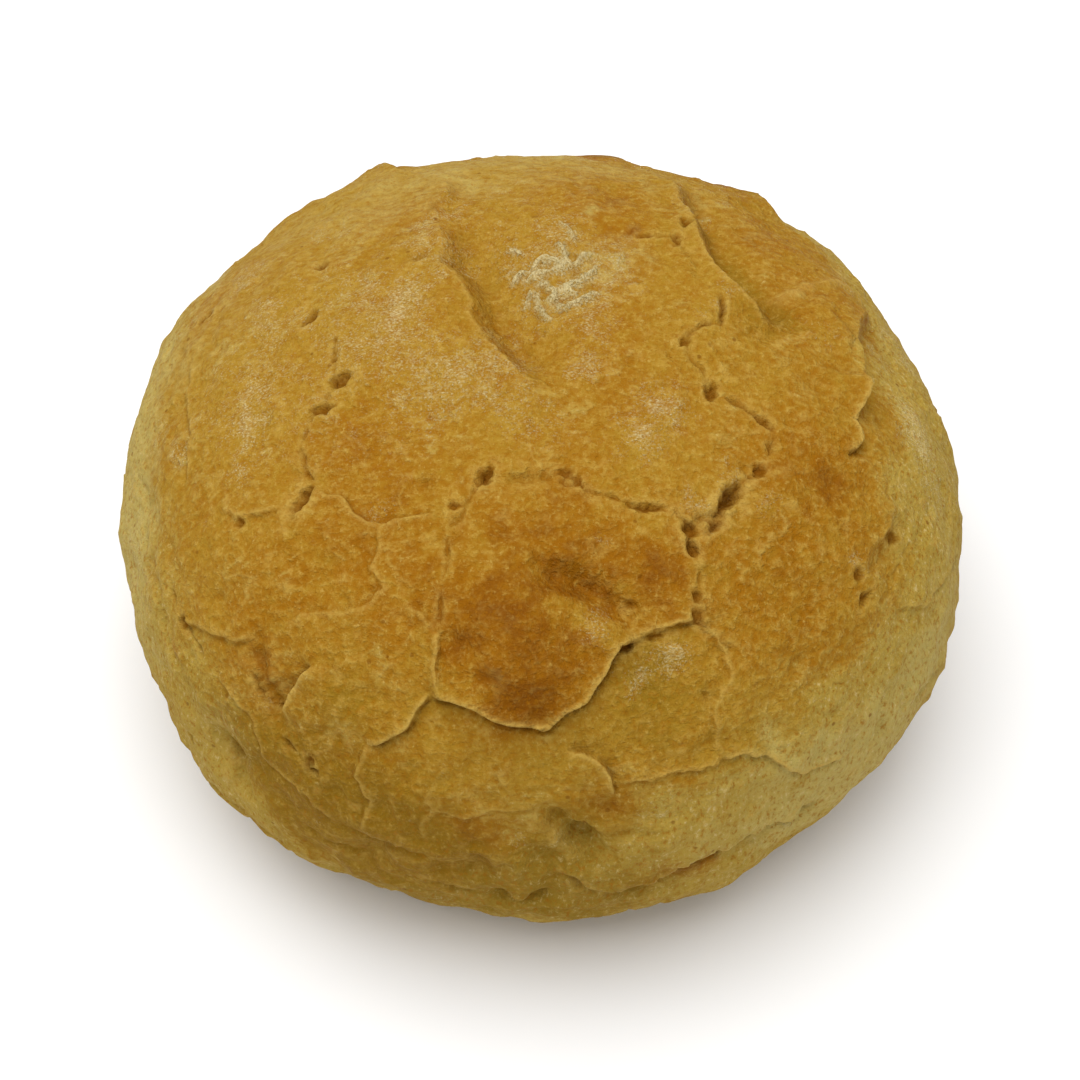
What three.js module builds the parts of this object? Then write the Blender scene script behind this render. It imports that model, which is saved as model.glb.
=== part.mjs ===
// A crusty bread roll, baked as one piece: a low round dome whose sides tuck in to a small flat
// underside. Millimetres, +Z up, -Y to the front, origin under the middle of its box.
import * as THREE from "three";

const WIDTH = 108; // across the widest level of the plain dome
const HEIGHT = 62; // from the table to the crown
const WIDEST_LEVEL = 25.6; // height at which the sides stand out furthest
const FOOT_SHARE = 0.62; // flat underside's radius over the widest radius
const SHOULDER_POWER = 2.42; // 2 is an ellipse, more is a squarer shoulder
const TUCK_POWER = 2.13; // the same, for the side below the widest level
const FOOT_FADE = 9; // lumps die out over this much skin above the flat underside
const RINGS_ABOVE = 24;
const RINGS_BELOW = 11;
const SECTORS = 84;

// Slow waves round the outline: number of waves, share of the radius, degrees to the first crest.
const OUTLINE_WAVES = [
  { count: 3, share: 0.002, crest: 3.3 },
  { count: 4, share: 0.005, crest: -31.8 },
  { count: 6, share: 0.003, crest: -22.3 },
  { count: 7, share: 0.004, crest: 25.7 },
];

// Lumps and hollows of the crust. A place is east and north of the crown, in millimetres measured
// along the skin; reach is how far the lump spreads, rise how far it stands out of the dome.
const LUMPS = [
  { name: "seam dimple on the crown", east: 1, north: 8, reach: 8, rise: -0.5 },
  { name: "west panel beside the seam", east: -18, north: -4, reach: 9, rise: 0.7 },
  { name: "trough west of the seam", east: -8, north: 13, reach: 5, rise: -0.9 },
  { name: "trough south-west of the seam", east: -5, north: 0, reach: 5, rise: -1.1 },
  { name: "valley on the east of the crown", east: 24, north: 15, reach: 6, rise: -1.1 },
  { name: "foot of that valley", east: 27, north: 4, reach: 5, rise: -0.6 },
  { name: "head of that valley", east: 19, north: 26, reach: 5, rise: -0.7 },
  { name: "north-west corner", east: -23, north: 42, reach: 6, rise: 1.3 },
  { name: "west-north-west corner", east: -34, north: 37, reach: 4, rise: 0.8 },
  { name: "west shoulder", east: -54, north: 18, reach: 8, rise: 0.9 },
  { name: "dip in the north edge", east: 1, north: 47, reach: 5, rise: -1.0 },
  { name: "dip beside the north-east corner", east: 18, north: 44, reach: 5, rise: -0.9 },
  { name: "north-east corner", east: 31, north: 39, reach: 4, rise: 0.5 },
  { name: "flat of the east shoulder", east: 54, north: 20, reach: 10, rise: -1.1 },
  { name: "edge of the top on the east", east: 38, north: 6, reach: 6, rise: 0.8 },
  { name: "step below that edge", east: 46, north: 4, reach: 6, rise: -0.9 },
  { name: "south-east swelling", east: 33, north: -13, reach: 11, rise: 0.7 },
  { name: "front bulge", east: -3, north: -41, reach: 10, rise: 2.0 },
  { name: "furrow above the front bulge", east: 6, north: -34, reach: 4, rise: -0.9 },
  { name: "hollow under the front bulge", east: 0, north: -54, reach: 7, rise: -0.7 },
  { name: "hollow beside the front bulge", east: 12, north: -43, reach: 6, rise: -0.7 },
  { name: "west-south-west swelling", east: -35, north: -28, reach: 12, rise: 0.6 },
  { name: "south-west crease", east: -33, north: -47, reach: 5, rise: -0.8 },
  { name: "south-west dent", east: -47, north: -50, reach: 6, rise: -1.5 },
  { name: "west dimple", east: -56, north: -14, reach: 6, rise: -0.8 },
  { name: "dent in the lower front", east: 5, north: -65, reach: 5, rise: -1.1 },
  { name: "south-west foot", east: -20, north: -86, reach: 13, rise: -0.6 },
  { name: "west-south-west foot", east: -57, north: -62, reach: 4, rise: 0.8 },
  { name: "south-east foot", east: 60, north: -61, reach: 6, rise: -1.0 },
  { name: "dent on the back", east: -8, north: 66, reach: 10, rise: -0.8 },
  { name: "swelling on the back", east: 28, north: 62, reach: 11, rise: 0.8 },
  { name: "swelling on the north-west side", east: -48, north: 52, reach: 11, rise: 0.7 },
];

const RADIUS = WIDTH / 2;
const QUARTER = Math.PI / 2;

// Meridian of the plain dome, from the crown over the widest level to the middle of the underside:
// two quarter superellipses and a straight line across the flat.
function meridian() {
  const points = [];
  for (let i = 0; i <= RINGS_ABOVE; i += 1) {
    const turn = (QUARTER * i) / RINGS_ABOVE;
    const radius = RADIUS * Math.sin(turn) ** (2 / SHOULDER_POWER);
    const rise = (HEIGHT - WIDEST_LEVEL) * Math.max(Math.cos(turn), 0) ** (2 / SHOULDER_POWER);
    points.push(new THREE.Vector2(radius, WIDEST_LEVEL + rise));
  }
  for (let i = 1; i <= RINGS_BELOW; i += 1) {
    const turn = (QUARTER * i) / RINGS_BELOW;
    const tuck = (1 - FOOT_SHARE) * Math.max(Math.cos(turn), 0) ** (2 / TUCK_POWER);
    const drop = 1 - Math.sin(turn) ** (2 / TUCK_POWER);
    points.push(new THREE.Vector2(RADIUS * (FOOT_SHARE + tuck), WIDEST_LEVEL * drop));
  }
  points[0].x = 0;
  points.at(-1).y = 0;
  points.push(new THREE.Vector2((RADIUS * FOOT_SHARE) / 2, 0));
  points.push(new THREE.Vector2(0, 0));
  return points;
}

// Distance along the skin from the crown to each point of the meridian.
function skinLengths(points) {
  const lengths = [0];
  for (let i = 1; i < points.length; i += 1) {
    lengths.push(lengths[i - 1] + points[i].distanceTo(points[i - 1]));
  }
  return lengths;
}

const outline = meridian();
const lengths = skinLengths(outline);
const WIDEST_LENGTH = lengths[RINGS_ABOVE];
const FOOT_LENGTH = lengths[RINGS_ABOVE + RINGS_BELOW];

// Radius and height of the plain dome at a distance along its skin.
function meridianAt(length) {
  const next = Math.max(1, lengths.findIndex((value) => value >= length));
  const share = (length - lengths[next - 1]) / (lengths[next] - lengths[next - 1]);
  return outline[next - 1].clone().lerp(outline[next], share);
}

// Stretch of the radius by the outline's waves, growing from none at the crown.
function outlineStretch(length, bearing) {
  const grown = Math.min(length / WIDEST_LENGTH, 1) ** 2;
  let stretch = 1;
  for (const { count, share, crest } of OUTLINE_WAVES) {
    stretch += grown * share * Math.cos(count * (bearing - THREE.MathUtils.degToRad(crest)));
  }
  return stretch;
}

// A point of the waved dome, before its lumps.
function domePoint(length, bearing) {
  const { x, y } = meridianAt(length);
  const radius = x * outlineStretch(length, bearing);
  return new THREE.Vector3(radius * Math.cos(bearing), radius * Math.sin(bearing), y);
}

// Unit outward direction of the plain dome at a distance along its skin.
function domeNormal(length, bearing) {
  const step = 0.5;
  const before = meridianAt(Math.max(length - step, 0));
  const after = meridianAt(Math.min(length + step, FOOT_LENGTH));
  const along = after.sub(before).normalize();
  return new THREE.Vector3(-along.y * Math.cos(bearing), -along.y * Math.sin(bearing), along.x);
}

const lumpCentres = LUMPS.map(({ east, north }) =>
  domePoint(Math.hypot(east, north), Math.atan2(north, east)),
);

// How far the lumps lift the crust at a point: a sum of bells, which die out above the foot.
function lumpRise(point, length) {
  const fade = THREE.MathUtils.smoothstep(FOOT_LENGTH - length, 0, FOOT_FADE);
  let rise = 0;
  LUMPS.forEach((lump, i) => {
    rise += lump.rise * Math.exp(-point.distanceToSquared(lumpCentres[i]) / lump.reach ** 2);
  });
  return rise * fade;
}

// The whole roll: a turned dome whose points are moved by the outline's waves and the lumps.
function rollGeometry() {
  const geometry = new THREE.LatheGeometry([...outline].reverse(), SECTORS);
  geometry.rotateX(QUARTER);
  const position = geometry.getAttribute("position");
  const point = new THREE.Vector3();
  for (let i = 0; i < position.count; i += 1) {
    const ring = outline.length - 1 - (i % outline.length);
    const length = Math.min(lengths[ring], FOOT_LENGTH);
    point.fromBufferAttribute(position, i);
    const bearing = Math.atan2(point.y, point.x);
    const stretch = outlineStretch(length, bearing);
    point.set(point.x * stretch, point.y * stretch, outline[ring].y);
    if (ring < RINGS_ABOVE + RINGS_BELOW) {
      point.addScaledVector(domeNormal(length, bearing), lumpRise(point, length));
    }
    position.setXYZ(i, point.x, point.y, point.z);
  }
  geometry.computeBoundingBox();
  const centre = geometry.boundingBox.getCenter(new THREE.Vector3());
  geometry.translate(-centre.x, -centre.y, 0);
  geometry.computeVertexNormals();
  return geometry;
}

const crust = new THREE.MeshStandardMaterial({ color: 0xae8540, roughness: 0.72, metalness: 0 });

const breadRoll = new THREE.Mesh(rollGeometry(), crust);
breadRoll.name = "bread_roll";

const roll = new THREE.Group();
roll.add(breadRoll);

export default roll;
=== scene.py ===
"""A crusty bread roll, baked as one piece, lying on a plain pale table.

The crust is one closed surface. Places on it are given as east and north of the crown in millimetres
measured along the skin, so that a place is found the same way on the top, the sides and the foot.
"""
import itertools
import math
from dataclasses import dataclass

import bpy
import numpy as np
from bpy.props import FloatProperty, FloatVectorProperty, PointerProperty
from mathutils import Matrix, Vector


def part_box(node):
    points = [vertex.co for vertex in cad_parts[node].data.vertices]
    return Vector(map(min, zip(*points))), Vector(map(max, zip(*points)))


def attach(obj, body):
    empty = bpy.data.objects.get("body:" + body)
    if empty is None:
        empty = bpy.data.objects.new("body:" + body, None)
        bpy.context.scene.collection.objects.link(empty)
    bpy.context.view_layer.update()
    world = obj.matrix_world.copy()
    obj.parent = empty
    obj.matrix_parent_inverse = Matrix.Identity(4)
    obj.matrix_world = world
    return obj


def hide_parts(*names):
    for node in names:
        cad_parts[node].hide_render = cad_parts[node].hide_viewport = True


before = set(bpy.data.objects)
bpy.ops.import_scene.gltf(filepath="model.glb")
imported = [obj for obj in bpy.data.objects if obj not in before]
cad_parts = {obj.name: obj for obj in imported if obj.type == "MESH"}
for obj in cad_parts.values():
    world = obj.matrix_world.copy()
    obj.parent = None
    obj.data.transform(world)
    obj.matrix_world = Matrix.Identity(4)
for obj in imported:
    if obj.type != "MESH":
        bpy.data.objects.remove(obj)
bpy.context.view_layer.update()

bl_info = {
    "name": "Bread Roll",
    "version": (1, 0, 0),
    "blender": (4, 5, 0),
    "location": "3D Viewport > Sidebar > Bread Roll",
    "description": "Bakes a crusty, floured bread roll and lays it on a pale table",
    "category": "Add Mesh",
}

MM = 0.001
SENSOR_WIDTH = 36.0  # of the camera, in millimetres

# ---------------------------------------------------------------------------------------------
# The dome: outline waves and lumps, as in the solid
# ---------------------------------------------------------------------------------------------

# Waves round the outline: number of waves, share of the radius, degrees to the first crest.
OUTLINE_WAVES = ((3, 0.002, 3.3), (4, 0.005, -31.8), (6, 0.003, -22.3), (7, 0.004, 25.7))

# Lumps and hollows: east, north, reach, rise.
LUMPS = (
    (1, 8, 8, -0.5),  # seam dimple on the crown
    (-18, -4, 9, 0.7),  # west panel beside the seam
    (-8, 13, 5, -0.9),  # trough west of the seam
    (-5, 0, 5, -1.1),  # trough south-west of the seam
    (24, 15, 6, -1.1),  # valley on the east of the crown
    (27, 4, 5, -0.6),  # foot of that valley
    (19, 26, 5, -0.7),  # head of that valley
    (-23, 42, 6, 1.3),  # north-west corner
    (-34, 37, 4, 0.8),  # west-north-west corner
    (-54, 18, 8, 0.9),  # west shoulder
    (1, 47, 5, -1.0),  # dip in the north edge
    (18, 44, 5, -0.9),  # dip beside the north-east corner
    (31, 39, 4, 0.5),  # north-east corner
    (54, 20, 10, -1.1),  # flat of the east shoulder
    (38, 6, 6, 0.8),  # edge of the top on the east
    (46, 4, 6, -0.9),  # step below that edge
    (33, -13, 11, 0.7),  # south-east swelling
    (-3, -41, 10, 2.0),  # front bulge
    (6, -34, 4, -0.9),  # furrow above the front bulge
    (0, -54, 7, -0.7),  # hollow under the front bulge
    (12, -43, 6, -0.7),  # hollow beside the front bulge
    (-35, -28, 12, 0.6),  # west-south-west swelling
    (-33, -47, 5, -0.8),  # south-west crease
    (-47, -50, 6, -1.5),  # south-west dent
    (-56, -14, 6, -0.8),  # west dimple
    (5, -65, 5, -1.1),  # dent in the lower front
    (-20, -86, 13, -0.6),  # south-west foot
    (-57, -62, 4, 0.8),  # west-south-west foot
    (60, -61, 6, -1.0),  # south-east foot
    (-8, 66, 10, -0.8),  # dent on the back
    (28, 62, 11, 0.8),  # swelling on the back
    (-48, 52, 11, 0.7),  # swelling on the north-west side
)
FOOT_FADE = 9.0  # lumps die out over this much skin above the flat underside


def smooth(low, high, value):
    """0 below low, 1 above high and 3x^2 - 2x^3 between them, with x the share of the way."""
    x = np.clip((value - low) / (high - low), 0, 1)
    return x * x * (3 - 2 * x)


def bell(value, centre, width):
    """exp(-((value - centre) / width)^2)."""
    return np.exp(-(((value - centre) / width) ** 2))


class Dome:
    """The plain dome with its outline waves and lumps, as functions of skin length and bearing."""

    STEPS = 1500

    def __init__(self, shape):
        """Meridian: r = R sin(a)^(2/p), z = widest + (H - widest) cos(a)^(2/p) down to the widest
        level, then the tucked quarter r = R (f + (1-f) cos(a)^(2/q)), z = widest (1 - sin(a)^(2/q)),
        then straight along the underside to the axis."""
        radius = shape.width / MM / 2
        height = shape.height / MM
        widest = shape.widest_level / MM
        turn = np.linspace(0, math.pi / 2, self.STEPS)
        sine = np.sin(turn)
        cosine = np.clip(np.cos(turn), 0, 1)
        upper = 2 / shape.shoulder_power
        lower = 2 / shape.tuck_power
        foot = shape.foot_share
        flat = np.linspace(foot, 0, 60)[1:]
        self.r = np.concatenate((
            radius * sine**upper,
            radius * (foot + (1 - foot) * cosine**lower)[1:],
            radius * flat,
        ))
        self.z = np.concatenate((
            widest + (height - widest) * cosine**upper,
            widest * (1 - sine**lower)[1:],
            0 * flat,
        ))
        self.length = np.concatenate(([0], np.cumsum(np.hypot(np.diff(self.r), np.diff(self.z)))))
        self.widest_length = self.length[self.STEPS - 1]
        self.foot_length = self.length[2 * self.STEPS - 2]
        self.end = self.length[-1]
        self.slope_r = np.gradient(self.r, self.length)
        self.slope_z = np.gradient(self.z, self.length)
        self.bell_centres = self.waved(*skin([l[0] for l in LUMPS], [l[1] for l in LUMPS]))

    def waved(self, length, bearing):
        """The dome's point: the meridian's radius times 1 plus the sum of share cos(count (bearing -
        crest)), faded in from the crown with the square of the length."""
        grown = np.clip(length / self.widest_length, 0, 1) ** 2
        stretch = 1 + grown * sum(
            share * np.cos(count * (bearing - math.radians(crest)))
            for count, share, crest in OUTLINE_WAVES
        )
        radius = np.interp(length, self.length, self.r) * stretch
        height = np.interp(length, self.length, self.z)
        return np.stack((radius * np.cos(bearing), radius * np.sin(bearing), height), -1)

    def normal(self, length, bearing):
        """Outward unit vector: the meridian's tangent turned a quarter, carried to the bearing."""
        run = np.interp(length, self.length, self.slope_r)
        rise = np.interp(length, self.length, self.slope_z)
        size = np.hypot(run, rise)
        return np.stack((-rise / size * np.cos(bearing), -rise / size * np.sin(bearing), run / size), -1)

    def point(self, length, bearing):
        """The waved dome moved outwards by the sum of the lumps' bells rise exp(-(d / reach)^2)."""
        place = self.waved(length, bearing)
        rise = np.zeros(np.shape(length))
        for centre, (_, _, reach, height) in zip(self.bell_centres, LUMPS):
            rise += height * np.exp(-((place - centre) ** 2).sum(-1) / reach**2)
        rise *= smooth(0, FOOT_FADE, self.foot_length - length)
        return place + self.normal(length, bearing) * rise[..., None]

    def place(self, east, north):
        """The point at a place east and north of the crown."""
        return self.point(*skin(east, north))


def skin(east, north):
    """Skin length and bearing of a place, or of many, east and north of the crown."""
    east, north = np.asarray(east, float), np.asarray(north, float)
    return np.hypot(east, north), np.arctan2(north, east)


# ---------------------------------------------------------------------------------------------
# Seeded noise on points
# ---------------------------------------------------------------------------------------------

LATTICE_CORNERS = tuple(itertools.product((0, 1), repeat=3))
HASH_PRIMES = (73856093, 19349663, 83492791)
DIRECTIONS = 1024  # seeded directions that the lattice's corners share; a power of two
GRAIN_GAIN = 1.6  # brings the noise to about -1 to 1
LAYER_FADE = 0.55  # strength of each layer of noise over the layer before


def grain(points, size, seed):
    """Gradient noise: each corner of a cubic lattice of side size holds a seeded random direction, and
    the value is the eight corners' directions dotted with the way to the point, blended with weights
    6x^5 - 15x^4 + 10x^3. It runs from about -1 to 1."""
    slopes = np.random.default_rng(seed).normal(size=(DIRECTIONS, 3))
    slopes /= np.linalg.norm(slopes, axis=1, keepdims=True)
    cell = np.floor(points / size).astype(np.int64)
    within = points / size - cell
    weight = within**3 * (within * (within * 6 - 15) + 10)
    total = np.zeros(len(points))
    for corner in LATTICE_CORNERS:
        x, y, z = (cell[:, axis] + corner[axis] for axis in range(3))
        mixed = (x * HASH_PRIMES[0]) ^ (y * HASH_PRIMES[1]) ^ (z * HASH_PRIMES[2])
        slope = slopes[(mixed ^ (mixed >> 11)) & (DIRECTIONS - 1)]
        share = np.prod(np.where(corner, weight, 1 - weight), axis=1)
        total += share * ((within - corner) * slope).sum(1)
    return total * GRAIN_GAIN


def layered(points, size, seed, layers=3):
    """Noise of falling size: each layer has half the size and LAYER_FADE of the strength of the last."""
    return sum(LAYER_FADE**i * grain(points, size / 2**i, seed + 17 * i) for i in range(layers))


def stirred(points, by, size, seed):
    """The points moved by up to `by` with three noises, which makes the edges of patches uneven."""
    return points + by * np.stack([grain(points, size, seed + i) for i in range(3)], 1)


# ---------------------------------------------------------------------------------------------
# The closed grid of rings
# ---------------------------------------------------------------------------------------------

# Edge length of the triangles at shares of the way from the crown to the middle of the underside.
EDGE_SHARES = (0.0, 0.42, 0.55, 0.72, 0.80, 1.0)
EDGE_SIZES = (0.50, 0.50, 0.60, 0.90, 1.3, 2.6)
RING_GAP = 0.87  # of the edge length, which makes the triangles near equal-sided
LAST_GAP = 0.7  # of the edge length, the least that is left round the middle of the underside
FRONT_CROWDING = 0.22  # how much closer the points stand on the south side than on average


def ring_plan(dome):
    """Skin length of each ring and the number of points on it: round / edge, rings 0.87 edge apart."""
    lengths, counts = [], []
    length = 0.0
    while True:
        edge = np.interp(length / dome.end, EDGE_SHARES, EDGE_SIZES)
        length += RING_GAP * edge
        if length > dome.end - LAST_GAP * edge:
            return np.array(lengths), np.array(counts)
        lengths.append(length)
        around = 2 * math.pi * np.interp(length, dome.length, dome.r)
        counts.append(max(6, round(around / edge)))


def stitched(first, count, next_first, next_count):
    """Triangles between two rings. An edge of one ring joins the point of the other whose stretch holds
    the edge's middle, counted by where the middles fall among the other ring's middles."""
    inner_middles = (np.arange(count) + 0.5) / count
    outer_middles = (np.arange(next_count) + 0.5) / next_count
    i = np.arange(count)
    j = np.arange(next_count)
    apex_in = np.searchsorted(inner_middles, outer_middles, side="left") % count
    apex_out = np.searchsorted(outer_middles, inner_middles, side="right") % next_count
    outer = np.stack((first + apex_in, next_first + j, next_first + (j + 1) % next_count), 1)
    inner = np.stack((first + i, next_first + apex_out, first + (i + 1) % count), 1)
    return np.concatenate((outer, inner))


def ringed_grid(dome):
    """Skin lengths, bearings and triangles of the whole closed crust: a fan round the crown, stitched
    rings, and a fan round the middle of the underside. A bearing is t - c cos(t), which crowds the
    points towards the south."""
    lengths, counts = ring_plan(dome)
    starts = np.concatenate(([1], 1 + np.cumsum(counts)))
    last = starts[-1]
    all_lengths = np.concatenate(([0], np.repeat(lengths, counts), [dome.end]))
    turns = np.concatenate([np.arange(n) / n for n in counts]) * 2 * math.pi
    bearings = np.concatenate(([0], turns - FRONT_CROWDING * np.cos(turns), [0]))
    top = np.arange(counts[0])
    foot = np.arange(counts[-1])
    faces = [np.stack((0 * top, 1 + top, 1 + (top + 1) % counts[0]), 1)]
    for k in range(len(counts) - 1):
        faces.append(stitched(starts[k], counts[k], starts[k + 1], counts[k + 1]))
    under = starts[-2]
    faces.append(np.stack((under + foot, 0 * foot + last, under + (foot + 1) % counts[-1]), 1))
    return all_lengths, bearings, np.concatenate(faces)


# ---------------------------------------------------------------------------------------------
# Cracks, flaps, creases and pits
# ---------------------------------------------------------------------------------------------


@dataclass
class Style:
    """How a line in the crust looks. Lengths are in millimetres; colours' strengths run from 0 to 1."""

    width: float = 0.24  # half the width of the groove
    depth: float = 0.5  # of the groove; negative for a ridge
    flat: float = 0.0  # 0 for a rounded groove, 1 for a steep-walled trench
    shoulder: float = 0.12  # how far the crust sinks towards the line
    reach: float = 1.8  # how far from the line the shoulder and the step die out
    rim: float = 0.06  # how far the torn lips stand up
    step: float = 0.0  # how far the left side rises
    drop: float = 0.6  # the share of the step by which the right side falls
    wall: float = 0.2  # half the width of the step
    over: float = 0.0  # how far the left side hangs over the right
    # dark is the strength of painted shade: the dark colour laid in the groove and under a step's hang.
    dark: float = 0.75  # strength of the groove's colour
    pale: float = 0.45  # strength of the torn lips' colour
    brown: float = 0.0  # painted shade beside the line, on a step's lower side, laid on as brown
    flour: float = 0.0  # flour that clings to the line
    ragged: float = 0.32  # size of the line's wander
    beads: float = 1.0  # how unevenly it gapes
    frayed: float = 0.4  # how uneven its edges are
    ease: float = 1.6  # the length over which its ends die out
    curved: float = 0.0  # 0 for straight stretches, 1 for a curve


STYLES = {
    "split": Style(),
    "tear": Style(width=0.55, depth=0.62, flat=0.85, shoulder=0.22, reach=2.0, rim=0.12, dark=0.6,
                  pale=0.65, ragged=0.5, beads=0.6, frayed=0.9),
    "hairline": Style(width=0.19, depth=0.24, shoulder=0.06, reach=1.6, rim=0.05, dark=0.35, pale=0.4),
    "seam": Style(width=0.22, depth=0.10, shoulder=0.06, reach=2.2, rim=0.06, step=0.28, wall=0.25,
                  over=0.1, dark=0.22, pale=0.6, ragged=0.40, beads=0.8),
    "pleat": Style(width=0.29, depth=-0.62, shoulder=0.06, reach=1.0, rim=-0.20, dark=0.0, pale=0.3,
                   flour=1.0, ragged=0.22, beads=0.5, frayed=0.6, ease=1.0, curved=1),
    "gap": Style(width=0.20, depth=0.30, rim=0.0, dark=0.35, pale=0.0, ragged=0.2, beads=0.5, curved=1),
    "crease": Style(width=0.8, depth=0.55, shoulder=0.15, reach=3.0, rim=0.08, dark=0.10, pale=0.2,
                    brown=0.2, ragged=0.3, beads=0.5, ease=3.0, curved=1),
    "furrow": Style(width=1.6, depth=1.3, shoulder=0.3, reach=3.0, rim=0.25, dark=0.0, pale=0.0,
                    brown=0.1, ragged=0.15, beads=0.15, frayed=0.15, ease=4.0, curved=1),
    "valley": Style(width=3.0, depth=1.1, shoulder=0.0, rim=0.0, dark=0.0, pale=0.0, brown=0.15,
                    ragged=0.4, beads=0.3, ease=8.0, curved=1),
    "ridge": Style(width=0.9, depth=-0.60, shoulder=0.0, rim=0.0, dark=0.0, pale=0.6, ragged=0.25,
                   beads=0.4, ease=3.0, curved=1),
    "lip": Style(width=0.28, depth=0.50, shoulder=0.0, reach=5.5, rim=0.20, step=1.1, drop=0.3,
                 wall=0.15, over=0.45, dark=1.0, pale=1.0, ragged=0.10, beads=0.3, frayed=0.1,
                 curved=0.3),
    "flap": Style(width=0.2, depth=0.2, shoulder=0.05, reach=3.0, rim=0.10, step=0.55, wall=0.18,
                  over=0.3, dark=0.5, pale=0.85, ragged=0.25, beads=0.6, frayed=0.3, curved=0.5),
    "terrace": Style(width=0.5, depth=0.10, shoulder=0.0, reach=5.0, rim=0.05, step=1.2, drop=0.9,
                     wall=1.0, dark=0.04, pale=0.22, brown=0.15, ragged=0.30, beads=0.5, ease=5.0,
                     curved=0.8),
    "slope": Style(width=0.5, depth=0.05, shoulder=0.0, reach=7.0, rim=0.12, step=0.9, drop=1.0,
                   wall=1.9, dark=0.12, pale=0.3, brown=0.15, ragged=0.3, beads=0.4, ease=6.0,
                   curved=0.8),
    "brim": Style(ragged=0.0, curved=1),
    "fold": Style(width=0.65, depth=1.5, shoulder=0.2, reach=4.0, rim=0.15, step=0.7, drop=0.15,
                  wall=0.3, over=0.2, dark=1.0, pale=0.7, brown=0.5, ragged=0.2, beads=0.3, frayed=0.3,
                  ease=5.0, curved=1),
}

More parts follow.
